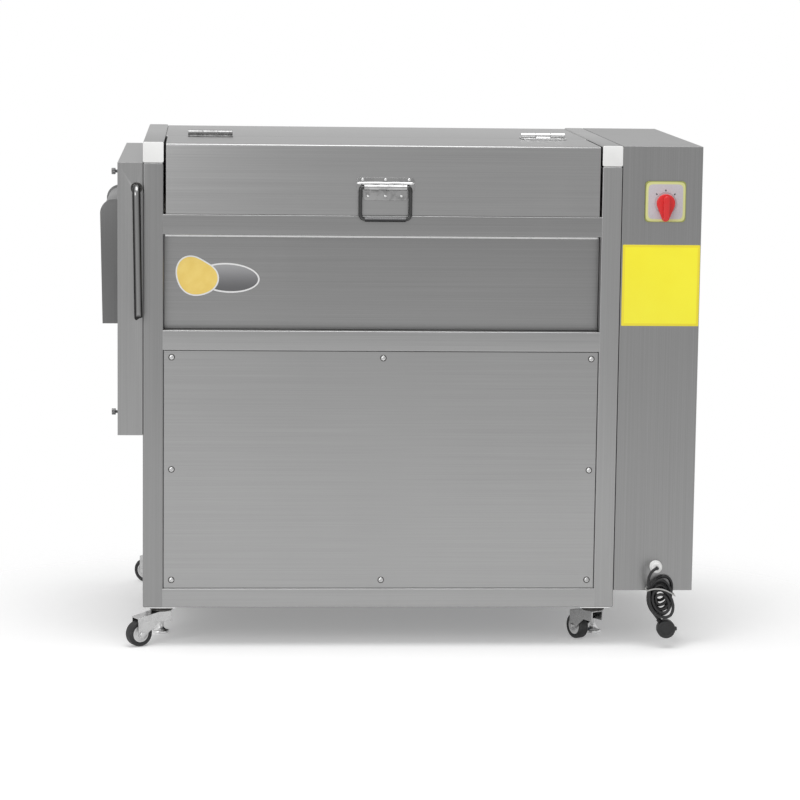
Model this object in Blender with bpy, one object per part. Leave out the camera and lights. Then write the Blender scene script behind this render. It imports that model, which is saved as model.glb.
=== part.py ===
"""A brush-roller machine that washes and peels potatoes, standing on levelling feet beside its casters.

Everything is in metres. While it is built, x runs right from the outer faces of the left posts, y runs
back from the front face of the frame, and z runs up from the underside of the frame. At the end an empty
carries the whole machine, so that the middle of its footprint on the floor is the world's origin.
"""

import math

import bmesh
import bpy
import numpy as np
from mathutils import Matrix, Vector

for old in list(bpy.data.objects):
    bpy.data.objects.remove(old, do_unlink=True)

# Sizes that the whole machine follows
frame_length = 0.934
frame_depth = 0.653
frame_height = 0.917
tube = 0.040
tube_wall = 0.002
tube_corner = 0.003
ride_height = 0.080
sheet = 0.0015
gap = 0.0003
overrun = 0.004
quarter = math.pi / 2

floor = -ride_height
middle_y = frame_depth / 2
post_top = frame_height - tube - gap
inner_left = tube + gap
inner_right = frame_length - tube - gap
inner_front = tube + gap
inner_back = frame_depth - tube - gap


def material(name, colour, roughness, metallic):
    """A plain finish of one colour."""
    finish = bpy.data.materials.new(name)
    finish.use_nodes = True
    shader = finish.node_tree.nodes["Principled BSDF"]
    shader.inputs["Base Color"].default_value = (*colour, 1)
    shader.inputs["Roughness"].default_value = roughness
    shader.inputs["Metallic"].default_value = metallic
    finish.diffuse_color = (*colour, 1)
    return finish


def add(name, mesh, finish):
    """An object of this mesh, linked to the scene."""
    mesh.materials.append(finish)
    piece = bpy.data.objects.new(name, mesh)
    bpy.context.scene.collection.objects.link(piece)
    return piece


def mesh_of(name, points, faces):
    """A closed mesh of these points and faces, with its faces turned outwards."""
    mesh = bpy.data.meshes.new(name)
    mesh.from_pydata([tuple(point) for point in points], [], faces)
    work = bmesh.new()
    work.from_mesh(mesh)
    bmesh.ops.recalc_face_normals(work, faces=work.faces)
    work.to_mesh(mesh)
    work.free()
    return mesh


def rounded(piece, angle=math.radians(35)):
    """Smooth shading, with the edges sharper than the angle kept."""
    piece.data.shade_smooth()
    piece.data.set_sharp_from_angle(angle=angle)
    return piece


def placed(axis, along, across, up):
    """A point from its place along an axis and its two places across it."""
    return {"X": (along, across, up), "Y": (across, along, up), "Z": (across, up, along)}[axis]


def prism(name, outline, axis, start, end, finish):
    """An outline carried straight along an axis. It holds (y, z) for X, (x, z) for Y and (x, y) for Z."""
    count = len(outline)
    points = [placed(axis, along, a, b) for along in (start, end) for a, b in outline]
    faces = [tuple(range(count)), tuple(range(count, 2 * count))]
    faces += [(i, (i + 1) % count, (i + 1) % count + count, i + count) for i in range(count)]
    return add(name, mesh_of(name, points, faces), finish)


def rectangle(a_low, a_high, b_low, b_high):
    return [(a_low, b_low), (a_high, b_low), (a_high, b_high), (a_low, b_high)]


def block(name, low, high, finish):
    """A plain block between two corners."""
    return prism(name, rectangle(low[0], high[0], low[1], high[1]), "Z", low[2], high[2], finish)


def arc(centre, radius, first, last, steps):
    """Points on an arc, between two angles in radians."""
    turns = [first + (last - first) * step / steps for step in range(steps + 1)]
    return [(centre[0] + radius * math.cos(t), centre[1] + radius * math.sin(t)) for t in turns]


def round_rectangle(a_low, a_high, b_low, b_high, radius, steps=3):
    """A rectangle with round corners."""
    corners = (
        (a_high - radius, b_low + radius, -quarter),
        (a_high - radius, b_high - radius, 0),
        (a_low + radius, b_high - radius, quarter),
        (a_low + radius, b_low + radius, 2 * quarter),
    )
    return [p for a, b, first in corners for p in arc((a, b), radius, first, first + quarter, steps)]


def rings(name, loops, finish, closed=False):
    """Loops of as many points each, joined in order. A closed run of loops leaves a bore."""
    count = len(loops[0])
    points = [point for loop in loops for point in loop]
    last = len(loops) if closed else len(loops) - 1
    faces = []
    for row in range(last):
        here, there = row * count, (row + 1) % len(loops) * count
        for i in range(count):
            j = (i + 1) % count
            faces.append((here + i, here + j, there + j, there + i))
    if not closed:
        faces += [tuple(range(count)), tuple(range((len(loops) - 1) * count, len(loops) * count))]
    return rounded(add(name, mesh_of(name, points, faces), finish))


def hole_for(radius, sides):
    """The corner radius of a hole with this many sides, so that its flats keep a round shaft's radius."""
    return radius / math.cos(math.pi / sides)


def turned(name, profile, axis, centre, sides, finish, closed=False):
    """A profile of (radius, place along the axis) turned about a line along the axis through the centre."""
    turns = [2 * math.pi * (side + 0.5) / sides for side in range(sides)]
    loops = [
        [placed(axis, along, centre[0] + r * math.cos(t), centre[1] + r * math.sin(t)) for t in turns]
        for r, along in profile
    ]
    return rings(name, loops, finish, closed)


def helper(piece):
    """A cutter or a shape that another piece takes in, which isn't a piece by itself."""
    piece.hide_render = True
    piece.display_type = "WIRE"
    return piece


def combine(piece, other, operation):
    change = piece.modifiers.new(operation.lower(), "BOOLEAN")
    change.operation = operation
    change.solver = "EXACT"
    change.object = helper(other)
    other.parent = piece
    return piece


def cut(piece, cutter):
    return combine(piece, cutter, "DIFFERENCE")


def fuse(piece, other):
    return combine(piece, other, "UNION")


def joined(name, pieces, finish):
    """Several closed shapes that don't touch, kept in one helper mesh."""
    work = bmesh.new()
    for piece in pieces:
        work.from_mesh(piece.data)
    mesh = bpy.data.meshes.new(name)
    work.to_mesh(mesh)
    work.free()
    for piece in pieces:
        bpy.data.objects.remove(piece, do_unlink=True)
    return add(name, mesh, finish)


def tray(name, low, high, axis, open_high, wall, finish):
    """A folded sheet: a box of this wall, open on one side of the axis."""
    index = "XYZ".index(axis)
    piece = block(name, low, high, finish)
    inside_low = [value + wall for value in low]
    inside_high = [value - wall for value in high]
    if open_high:
        inside_high[index] = high[index] + overrun
    else:
        inside_low[index] = low[index] - overrun
    return cut(piece, block(name + "_inside", inside_low, inside_high, finish))


def rod(name, points, radius, resolution, finish):
    """A round bar along points, with closed ends."""
    data = bpy.data.curves.new(name, "CURVE")
    data.dimensions = "3D"
    data.bevel_depth = radius
    data.bevel_resolution = resolution
    data.use_fill_caps = True
    spline = data.splines.new("POLY")
    spline.points.add(len(points) - 1)
    for place, point in zip(spline.points, points):
        place.co = (*point, 1)
    data.materials.append(finish)
    piece = bpy.data.objects.new(name, data)
    bpy.context.scene.collection.objects.link(piece)
    return piece


def carried(name, point, pieces):
    """An empty on a joint's axis, with its pieces as children where they already lie."""
    carrier = bpy.data.objects.new(name, None)
    carrier.location = point
    bpy.context.scene.collection.objects.link(carrier)
    for piece in pieces:
        piece.parent = carrier
        piece.matrix_parent_inverse = Matrix.Translation(Vector(point)).inverted()
    return carrier


steel = material("brushed_stainless", (0.42, 0.42, 0.42), 0.34, 1)
bright_steel = material("polished_steel", (0.62, 0.62, 0.62), 0.2, 1)
dark_steel = material("dark_steel", (0.1, 0.1, 0.1), 0.45, 1)
white_plastic = material("white_plastic", (0.8, 0.8, 0.8), 0.4, 0)
black_plastic = material("black_plastic", (0.02, 0.02, 0.02), 0.45, 0)
black_rubber = material("black_rubber", (0.015, 0.015, 0.015), 0.7, 0)
red_plastic = material("red_plastic", (0.55, 0.02, 0.02), 0.35, 0)
pale_plastic = material("pale_plastic", (0.5, 0.48, 0.6), 0.4, 0)
motor_paint = material("motor_paint", (0.08, 0.16, 0.3), 0.4, 0)
nylon = material("nylon_bristle", (0.75, 0.75, 0.7), 0.6, 0)

# The welded frame: front and rear ladders, and the tubes that join them
lid_flap = 0.139
upper_window = 0.1865
bottom_rail_height = 0.038
upper_rail_top = frame_height - lid_flap
upper_rail_bottom = upper_rail_top - tube
middle_rail_top = upper_rail_bottom - upper_window
middle_rail_bottom = middle_rail_top - tube
rear_rail_bottom = post_top - tube

caster_inset = 0.036
caster_plate_size = 0.060
caster_plate = 0.003
race_radius = 0.023
race_height = 0.009
corner_sides = 20


def caster_seat(name, x, y):
    """The mounting plate under a corner of the frame, with the upper half of its swivel race."""
    half = caster_plate_size / 2
    low, high = (x - half, y - half, -caster_plate), (x + half, y + half, -gap)
    plate = block(name, low, high, steel)
    post_x = 0 if x < frame_length / 2 else frame_length - tube
    post_y = 0 if y < middle_y else frame_depth - tube
    low = (post_x + tube_corner, post_y + tube_corner, -caster_plate / 2)
    high = (post_x + tube - tube_corner, post_y + tube - tube_corner, sheet)
    fuse(plate, block(name + "_weld", low, high, steel))
    bottom = -caster_plate - race_height
    profile = [
        (race_radius - gap, -caster_plate / 2),
        (race_radius, -caster_plate - race_height / 2),
        (race_radius - caster_plate, bottom),
    ]
    return fuse(plate, turned(name + "_race", profile, "Z", (x, y), corner_sides, steel))


def ladder(name, front, windows):
    """Two posts and the rails between them, as one welded piece."""
    back = front + tube
    piece = block(name, (0, front, 0), (frame_length, back, post_top), steel)
    rounding = piece.modifiers.new("tube corners", "BEVEL")
    rounding.width = tube_corner
    rounding.segments = 2
    rounding.limit_method = "ANGLE"
    for number, (low, high) in enumerate(windows):
        low_corner = (tube, front - overrun, low)
        high_corner = (frame_length - tube, back + overrun, high)
        cut(piece, block(f"{name}_window_{number}", low_corner, high_corner, steel))
    seat_y = caster_inset if front == 0 else frame_depth - caster_inset
    for side, seat_x in (("left", caster_inset), ("right", frame_length - caster_inset)):
        fuse(piece, caster_seat(f"{name}_{side}_seat", seat_x, seat_y))
    return piece


front_frame = ladder(
    "front_frame",
    0,
    (
        (bottom_rail_height, middle_rail_bottom),
        (middle_rail_top, upper_rail_bottom),
        (upper_rail_top, post_top + overrun),
    ),
)
rear_frame = ladder("rear_frame", frame_depth - tube, ((bottom_rail_height, rear_rail_bottom),))

plug_flange = 0.003
plug_stub = 0.014


def side_tube(name, x, front, back, bottom, height, blind):
    """A tube from front to back. A blind one keeps a welded cap at its rear end."""
    outline = round_rectangle(x, x + tube, bottom, bottom + height, tube_corner, 2)
    piece = prism(name, outline, "Y", front, back, steel)
    inside = rectangle(x + tube_wall, x + tube - tube_wall, bottom + tube_wall, bottom + height - tube_wall)
    end = back - tube_wall if blind else back + overrun
    return cut(piece, prism(name + "_bore", inside, "Y", front - overrun, end, steel))


top_rails, plugs, bottom_rails = [], [], []
for side, rail_x in (("left", 0), ("right", frame_length - tube)):
    top_rails.append(
        side_tube(
            f"top_rail_{side}", rail_x, plug_flange + gap, frame_depth, frame_height - tube, tube, True
        )
    )
    bottom_rails.append(
        side_tube(
            f"bottom_rail_{side}", rail_x, inner_front, inner_back, 0, bottom_rail_height, False
        )
    )
    face = round_rectangle(rail_x, rail_x + tube, frame_height - tube, frame_height, tube_corner)
    plug = prism(f"rail_plug_{side}", face, "Y", 0, plug_flange, white_plastic)
    margin = tube_wall + gap
    stub = rectangle(
        rail_x + margin, rail_x + tube - margin, frame_height - tube + margin, frame_height - margin
    )
    stub_end = plug_flange + plug_stub
    plugs.append(fuse(plug, prism(f"plug_stub_{side}", stub, "Y", plug_flange / 2, stub_end, white_plastic)))

# The brush rollers lie round a half circle, so that their upper sides make the trough
roller_count = 9
ring_drop = 0.028
ring_clearance = 0.0075
roller_spacing_gap = 0.0037
core_radius = 0.026
shaft_radius = 0.010
shaft_clearance = 0.0005
side_plate_inset = 0.018
side_plate = 0.003
bearing_radius = 0.026
bearing_length = 0.012
bearing_face = 0.018
brush_end_clearance = 0.008
bristle_lobes = 8
bristle_depth = 0.006
bristle_twist = math.radians(120)
brush_rings = 5
shaft_sides = 10
half_step_share = math.sin(math.pi / (roller_count - 1) / 2)
ring_room = middle_y - tube - ring_clearance + roller_spacing_gap / 2
ring_radius = ring_room / (1 + half_step_share)
brush_radius = ring_radius * half_step_share - roller_spacing_gap / 2
ring_height = upper_rail_top - ring_drop
ring_centre = (middle_y, ring_height)
roller_angles = [math.pi * (1 + number / (roller_count - 1)) for number in range(roller_count)]
roller_places = [
    (ring_centre[0] + ring_radius * math.cos(t), ring_centre[1] + ring_radius * math.sin(t))
    for t in roller_angles
]
left_plate_x = side_plate_inset
right_plate_x = frame_length - side_plate_inset
outlet_clearance = 0.011
outlet_rise = 0.070
outlet_radius = ring_radius - brush_radius - outlet_clearance
outlet_top = ring_height + outlet_rise

# The drive: a sprocket on each roller, all in one chain, and a second chain from the motor
chain_pitch = 0.015875
sprocket_width = 0.0055
tooth_height = 0.0045
tooth_root = 0.0050
tooth_tip_share = 0.10
tooth_root_share = 0.30
sprocket_clearance = 0.0135
first_row = 0.006
row_spacing = 0.020
drive_height_share = 0.2181
shaft_end = 0.006
roller_spacing = 2 * ring_radius * half_step_share
widest_pitch = roller_spacing - 2 * tooth_height - sprocket_clearance
sprocket_teeth = int(math.pi / math.asin(chain_pitch / widest_pitch))
pitch_radius = chain_pitch / (2 * math.sin(math.pi / sprocket_teeth))
chain_row = frame_length + first_row
drive_row = chain_row + row_spacing
drive_height = frame_height * drive_height_share


def side_sheet(name, inner_x, outward, with_outlet):
    """One end wall of the trough, between the posts, with a bearing for each shaft on its outer face."""
    outer_x = inner_x + outward * side_plate
    edges = rectangle(inner_front, inner_back, bottom_rail_height + gap, frame_height - tube - gap)
    plate = prism(name, edges, "X", min(inner_x, outer_x), max(inner_x, outer_x), steel)
    housing = [
        (bearing_radius, inner_x + outward * side_plate / 2),
        (bearing_radius, outer_x + outward * bearing_length / 2),
        (bearing_face, outer_x + outward * bearing_length),
    ]
    bosses = [
        turned(f"{name}_boss_{n}", housing, "X", place, 12, steel) for n, place in enumerate(roller_places)
    ]
    fuse(plate, joined(name + "_bosses", bosses, steel))
    hole_radius = hole_for(shaft_radius + shaft_clearance, shaft_sides)
    reach = bearing_length + overrun
    holes = [
        turned(
            f"{name}_hole_{n}",
            [(hole_radius, inner_x - outward * overrun), (hole_radius, outer_x + outward * reach)],
            "X",
            place,
            shaft_sides,
            steel,
        )
        for n, place in enumerate(roller_places)
    ]
    cut(plate, joined(name + "_holes", holes, steel))
    if with_outlet:
        outline = arc(ring_centre, outlet_radius, math.pi, 2 * math.pi, 20)
        outline += [(middle_y + outlet_radius, outlet_top), (middle_y - outlet_radius, outlet_top)]
        ends = sorted((inner_x - outward * overrun, outer_x + outward * overrun))
        cut(plate, prism(name + "_outlet", outline, "X", ends[0], ends[1], steel))
    else:
        round_hole = [(hole_radius, inner_x - overrun), (hole_radius, outer_x + overrun)]
        place = (middle_y, drive_height)
        cut(plate, turned(name + "_drive", round_hole, "X", place, shaft_sides, steel))
    return plate


left_side_plate = side_sheet("left_side_plate", left_plate_x + side_plate, -1, True)
right_side_plate = side_sheet("right_side_plate", right_plate_x - side_plate, 1, False)


def sprocket(name, place, row):
    """A toothed wheel across X, with one tooth for each chain link that it takes."""
    step = 2 * math.pi / sprocket_teeth
    tip, root = pitch_radius + tooth_height, pitch_radius - tooth_root
    profile = [(-tooth_root_share, root), (-tooth_tip_share, tip)]
    profile += [(-share, radius) for share, radius in profile[::-1]]
    outline = []
    for tooth in range(sprocket_teeth):
        for share, radius in profile:
            turn = (tooth + share) * step
            outline.append((place[0] + radius * math.cos(turn), place[1] + radius * math.sin(turn)))
    half = sprocket_width / 2
    return prism(name, outline, "X", row - half, row + half, dark_steel)


def brush_roller(number):
    """A shaft and core inside rows of bristles that wind round it, with its drive sprocket fixed on."""
    place = roller_places[number - 1]
    name = f"brush_roller_{number}"
    double = number == (roller_count + 1) // 2
    first = left_plate_x + side_plate + brush_end_clearance
    last = right_plate_x - side_plate - brush_end_clearance
    sides = 2 * bristle_lobes
    loops = []
    for row in range(brush_rings):
        share = row / (brush_rings - 1)
        loop = []
        for side in range(sides):
            turn = 2 * math.pi * side / sides + bristle_twist * share
            radius = brush_radius - (bristle_depth if side % 2 else 0)
            spot = (place[0] + radius * math.cos(turn), place[1] + radius * math.sin(turn))
            loop.append((first + (last - first) * share, *spot))
        loops.append(loop)
    piece = rings(name, loops, nylon)
    right_end = (drive_row if double else chain_row) + sprocket_width / 2 + shaft_end
    left_end = left_plate_x - bearing_length
    collar = brush_end_clearance - gap
    shaft = [
        (shaft_radius, left_end),
        (shaft_radius, first - collar / 2),
        (core_radius, first - collar / 2),
        (core_radius, last + collar / 2),
        (shaft_radius, last + collar / 2),
        (shaft_radius, right_end),
    ]
    fuse(piece, turned(name + "_shaft", shaft, "X", place, shaft_sides, steel))
    fuse(piece, sprocket(name + "_sprocket", place, chain_row))
    if double:
        fuse(piece, sprocket(name + "_drive_sprocket", place, drive_row))
    carried(name + "_axis", ((first + last) / 2, *place), [piece])
    return piece


rollers = [brush_roller(number) for number in range(1, roller_count + 1)]


def wrap(circles, steps):
    """A chain's path round circles of (y, z, radius) in turn, anticlockwise, with its outward normals."""
    normals = []
    for number, (y, z, radius) in enumerate(circles):
        next_y, next_z, next_radius = circles[(number + 1) % len(circles)]
        heading = math.atan2(next_z - z, next_y - y)
        distance = math.hypot(next_z - z, next_y - y)
        normals.append(heading - math.acos((radius - next_radius) / distance))
    path = []
    for number, (y, z, radius) in enumerate(circles):
        first, last = normals[number - 1], normals[number]
        last += 2 * math.pi * math.ceil((first - last) / (2 * math.pi))
        count = max(1, round(steps * (last - first) / math.pi))
        for step in range(count + 1):
            turn = first + (last - first) * step / count
            normal = (math.cos(turn), math.sin(turn))
            path.append(((y + radius * normal[0], z + radius * normal[1]), normal))
    return path


chain_half_height = 0.0072
chain_plate = 0.0016
chain_side_clearance = 0.0006
chain_back = 0.0016
chain_steps = 12


def chain(name, circles, row):
    """A chain as its two rows of side plates, held together over the tips of the teeth."""
    inner = sprocket_width / 2 + chain_side_clearance
    outer = inner + chain_plate
    low, high, under = -chain_half_height, chain_half_height, chain_half_height - chain_back
    section = [(-outer, low), (-inner, low), (-inner, under), (inner, under), (inner, low), (outer, low)]
    section += [(outer, high), (-outer, high)]
    loops = [
        [(row + across, point[0] + out * normal[0], point[1] + out * normal[1]) for across, out in section]
        for point, normal in wrap(circles, chain_steps)
    ]
    return rings(name, loops, dark_steel, closed=True)


roller_chain = chain("roller_chain", [(*place, pitch_radius) for place in roller_places], chain_row)
drive_places = [roller_places[(roller_count - 1) // 2], (middle_y, drive_height)]
drive_chain = chain("drive_chain", [(*place, pitch_radius) for place in drive_places], drive_row)

motor_radius = 0.070
motor_length = 0.230
motor_fins = 16
motor_fin = 0.006
gearbox_radius = 0.080
gearbox_end_radius = 0.075
gearbox_length = 0.090
motor_flange = 0.010
flange_radius = 0.090
fin_share = 0.5
fin_phase_share = 0.2
finned_share = 0.62
cowl_share = 0.92
cowl_radius = 0.0715
cowl_end_radius = 0.056
terminal_box = (0.080, 0.070, 0.045)
terminal_box_start = 0.046
motor_sides = 24


def gear_motor():
    """A flange-mounted gear motor inside the frame, its shaft going out through the right end wall."""
    face = right_plate_x - side_plate - gap
    place = (middle_y, drive_height)
    gearbox_end = face - motor_flange - gearbox_length
    fins_start = gearbox_end - motor_length * finned_share
    profile = [
        (flange_radius, face),
        (flange_radius, face - motor_flange),
        (gearbox_radius, face - motor_flange),
        (gearbox_end_radius, gearbox_end),
        (motor_radius - motor_fin, gearbox_end),
        (motor_radius - motor_fin, fins_start - overrun),
    ]
    piece = turned("gear_motor", profile, "X", place, motor_sides, motor_paint)
    outline = []
    for fin in range(motor_fins):
        for share, depth in ((0, 0), (fin_share, 0), (fin_share, motor_fin)):
            radius = motor_radius - depth
            turn = 2 * math.pi * (fin + share + fin_phase_share) / motor_fins
            outline.append((place[0] + radius * math.cos(turn), place[1] + radius * math.sin(turn)))
    fuse(piece, prism("motor_fins", outline, "X", fins_start, gearbox_end + overrun, motor_paint))
    cowl = [
        (cowl_radius, fins_start + overrun),
        (cowl_radius, gearbox_end - motor_length * cowl_share),
        (cowl_end_radius, gearbox_end - motor_length),
    ]
    fuse(piece, turned("motor_cowl", cowl, "X", place, motor_sides, motor_paint))
    box_x = gearbox_end - terminal_box_start
    box_length, box_height, box_depth = terminal_box
    low = (box_x - box_length, place[0] - motor_radius - box_depth, place[1] - box_height / 2)
    high = (box_x, place[0] - motor_radius + motor_fin, place[1] + box_height / 2)
    fuse(piece, block("terminal_box", low, high, motor_paint))
    bore_radius = hole_for(shaft_radius + shaft_clearance, shaft_sides)
    bore = [(bore_radius, face + overrun), (bore_radius, gearbox_end)]
    return cut(piece, turned("motor_bore", bore, "X", place, shaft_sides, motor_paint))


motor = gear_motor()
drive_shaft_start = right_plate_x - side_plate - motor_flange - gearbox_length / 2
drive_shaft = [
    (shaft_radius, drive_shaft_start),
    (shaft_radius, drive_row + sprocket_width / 2 + shaft_end),
]
drive_sprocket = turned(
    "drive_sprocket", drive_shaft, "X", (middle_y, drive_height), shaft_sides, dark_steel
)
fuse(drive_sprocket, sprocket("drive_sprocket_teeth", (middle_y, drive_height), drive_row))
carried("drive_axis", (drive_row, middle_y, drive_height), [drive_sprocket])

# Water: a hopper below the rollers with its drain, and a spray pipe above them
hopper_clearance = 0.016
hopper_skirt = 0.012
hopper_depth_share = 0.120
drain_share = 0.0872
hopper_sides = 24
drain_radius = 0.030
spray_radius = 0.0107
spray_inset = 0.061
spray_rise = 0.065
spray_sides = 16
inlet_reach = 0.014
inlet_collar = 0.0093
hopper_top = ring_height - ring_radius - brush_radius - hopper_clearance
hopper_bottom = hopper_top - frame_height * hopper_depth_share
drain_end = hopper_bottom - frame_height * drain_share
spray_height = ring_height + spray_rise


def on_rectangle(turn, x_low, x_high, y_low, y_high):
    """The point of a rectangle's edge that lies in a direction from its middle."""
    c, s = math.cos(turn), math.sin(turn)
    half_x, half_y = (x_high - x_low) / 2, (y_high - y_low) / 2
    reach = 1 / max(abs(c), abs(s))
    return ((x_low + x_high) / 2 + half_x * c * reach, (y_low + y_high) / 2 + half_y * s * reach)


def hopper():
    """A sheet funnel from the whole trough down to a round drain in the middle."""
    first = 2 * math.pi / hopper_sides - math.pi / 4
    turns = [first + 2 * math.pi * side / hopper_sides for side in range(hopper_sides)]
    x_low, x_high = left_plate_x + side_plate + gap, right_plate_x - side_plate - gap
    centre = ((x_low + x_high) / 2, middle_y)

    def rim(inset, z):
        sized = (x_low + inset, x_high - inset, inner_front + inset, inner_back - inset)
        return [(*on_rectangle(t, *sized), z) for t in turns]

    def pipe(radius, z):
        return [(centre[0] + radius * math.cos(t), centre[1] + radius * math.sin(t), z) for t in turns]

    skirt = hopper_top - hopper_skirt
    loops = [
        rim(0, hopper_top),
        rim(0, skirt),
        pipe(drain_radius, hopper_bottom),
        pipe(drain_radius, drain_end),
        pipe(drain_radius - sheet, drain_end),
        pipe(drain_radius - sheet, hopper_bottom + sheet),
        rim(sheet, skirt + sheet),
        rim(sheet, hopper_top),
    ]
    return rings("water_hopper", loops, steel, closed=True)


hopper()
spray_y = frame_depth - spray_inset
spray_start = left_plate_x + side_plate + gap
spray_stop = right_plate_x - side_plate - gap
pipe_profile = [(spray_radius, spray_start), (spray_radius, spray_stop)]
spray_pipe = turned("spray_pipe", pipe_profile, "X", (spray_y, spray_height), spray_sides, steel)
inlet_end = frame_depth + inlet_reach
inlet = [
    (spray_radius - gap, spray_y),
    (spray_radius - gap, inlet_end - inlet_collar),
    (spray_radius + tube_wall, inlet_end - inlet_collar),
    (spray_radius + tube_wall, inlet_end),
]
inlet_x = frame_length / 2
fuse(spray_pipe, turned("spray_inlet", inlet, "Y", (inlet_x, spray_height), spray_sides, steel))

# Folded panels inside the ladders, and the fixed plate over the rear half of the top
panel_recess = 0.003
panel_flange = 0.012
upper_panel_recess = 0.024
top_step = 0.002
hinge_line = 0.260
hinge_seam = 0.0015
top_flange = 0.030
lid_side_gap = 0.0018

low_corner = (inner_left, panel_recess, bottom_rail_height + gap)
high_corner = (inner_right, panel_recess + panel_flange, middle_rail_bottom - gap)
lower_front_panel = tray("lower_front_panel", low_corner, high_corner, "Y", True, sheet, steel)
low_corner = (inner_left, upper_panel_recess, middle_rail_top + gap)
high_corner = (inner_right, upper_panel_recess + panel_flange, upper_rail_bottom - gap)
upper_front_panel = tray("upper_front_panel", low_corner, high_corner, "Y", True, sheet, steel)
low_corner = (inner_left, frame_depth - panel_recess - panel_flange, bottom_rail_height + gap)
high_corner = (inner_right, frame_depth - panel_recess, rear_rail_bottom - gap)
rear_panel = tray("rear_panel", low_corner, high_corner, "Y", False, sheet, steel)
inlet_hole = [(spray_radius + gap, frame_depth - tube), (spray_radius + gap, frame_depth + overrun)]
cut(rear_panel, turned("inlet_hole", inlet_hole, "Y", (inlet_x, spray_height), spray_sides, steel))
top_level = frame_height - top_step
low_corner = (inner_left, hinge_line + hinge_seam, top_level - top_flange)
high_corner = (inner_right, frame_depth, top_level)
rear_top_plate = tray("rear_top_plate", low_corner, high_corner, "Z", False, sheet, steel)

# The lid: one folded sheet, its top between the top rails and its flap down to the upper rail
lid_front = 0.001
lid_bend = 0.005
lid_hem = 0.012


def lid_outline(inset):
    """The lid's section across X, or the hollow inside its sheet."""
    front, top = lid_front + inset, top_level - inset
    back, bottom = hinge_line - hinge_seam, upper_rail_top + gap
    radius = lid_bend - inset
    outer = arc((front + radius, top - radius), radius, math.pi, math.pi / 2, 5)
    return [(front, bottom)] + outer + [(back, top)]


lid_low = inner_left + lid_side_gap
lid_high = inner_right - lid_side_gap
section = lid_outline(0) + lid_outline(sheet)[::-1]
lid = prism("lid", section, "X", lid_low, lid_high, steel)
hem = [
    (lid_front + sheet / 2, upper_rail_top + gap),
    (lid_front + lid_hem, upper_rail_top + gap),
    (lid_front + lid_hem, upper_rail_top + gap + sheet),
    (lid_front + sheet / 2, upper_rail_top + gap + sheet),
]
fuse(lid, prism("lid_hem", hem, "X", lid_low, lid_high, steel))
rounded(lid)

# Two butt hinges on the top, three knuckles each, the pin fixed in the rear leaf
hinge_length = 0.090
hinge_leaf = 0.030
leaf_thickness = 0.002
knuckle_radius = 0.006
hinge_pin = 0.003
knuckle_clearance = 0.0005
knuckles = 3
leaf_corner = 0.008
corner_steps = 4
hinge_inset = 0.130
hinge_sides = 12
leaf_clearance = 0.001
hinge_places = (hinge_inset, frame_length - hinge_inset)
hinge_z = top_level + gap + knuckle_radius
hinge_clear = knuckle_radius + leaf_clearance


def hinge(side, centre):
    """The rear leaf with its pin and odd knuckles, and the lid's leaf with the even ones."""
    start = centre - hinge_length / 2
    pitch = hinge_length / knuckles
    leaf_low, leaf_high = top_level + gap, top_level + gap + leaf_thickness
    leaves = []
    for name, direction, odd in (("rear_leaf", 1, True), ("lid_leaf", -1, False)):
        near, far = hinge_line + direction * hinge_clear, hinge_line + direction * (hinge_clear + hinge_leaf)
        x_range = (start, start + hinge_length)
        turn, corner_y = direction * quarter, far - direction * leaf_corner
        outline = [(x_range[0], near), (x_range[1], near)]
        outline += arc((x_range[1] - leaf_corner, corner_y), leaf_corner, 0, turn, corner_steps)
        outline += arc((x_range[0] + leaf_corner, corner_y), leaf_corner, turn, 2 * turn, corner_steps)
        leaf = prism(f"hinge_{side}_{name}", outline, "Z", leaf_low, leaf_high, bright_steel)
        for number in range(knuckles):
            if (number % 2 == 0) != odd:
                continue
            low = start + number * pitch + (knuckle_clearance / 2 if number else 0)
            high = start + (number + 1) * pitch - (knuckle_clearance / 2 if number < knuckles - 1 else 0)
            barrel = turned(
                f"knuckle_{side}_{number}",
                [(knuckle_radius, low), (knuckle_radius, high)],
                "X",
                (hinge_line, hinge_z),
                hinge_sides,
                bright_steel,
            )
            tab_ends = sorted((hinge_line, near + direction * overrun))
            tab = block(
                f"tab_{side}_{number}",
                (low, tab_ends[0], leaf_low + gap / 2),
                (high, tab_ends[1], leaf_high),
                bright_steel,
            )
            fuse(leaf, barrel)
            fuse(leaf, tab)
        pin_radius = hinge_pin if odd else hinge_pin + knuckle_clearance
        past = -gap if odd else overrun
        pin = turned(
            f"pin_{side}_{name}",
            [(pin_radius, start - past), (pin_radius, start + hinge_length + past)],
            "X",
            (hinge_line, hinge_z),
            hinge_sides,
            bright_steel,
        )
        if odd:
            fuse(leaf, pin)
        else:
            cut(leaf, pin)
        leaves.append(leaf)
    return leaves


left_hinge = hinge("left", hinge_places[0])
right_hinge = hinge("right", hinge_places[1])

# The drop handle on the front of the lid
handle_offset = 0.003
handle_width = 0.114
handle_axis_rise = 0.055
handle_above = 0.019
handle_below = 0.0255
handle_plate_thickness = 0.002
handle_foot_width = 0.088
bail_radius = 0.0036
bail_clearance = 0.0005
barrel_wall = 0.0015
barrel_length = 0.084
bail_arms = 0.0975
bail_drop = 0.0620
bail_bend = 0.010
bail_hook = 0.012
grip_radius = 0.0052
grip_length = 0.080
handle_sides = 16
handle_steps = 3
handle_x = frame_length / 2 + handle_offset
handle_axis_z = upper_rail_top + handle_axis_rise
handle_top = handle_axis_z + handle_above
handle_bottom = handle_axis_z - handle_below
handle_back = lid_front - gap
barrel_radius = bail_radius + bail_clearance + barrel_wall
bail_y = handle_back - handle_plate_thickness - barrel_radius + barrel_wall / 2

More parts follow.
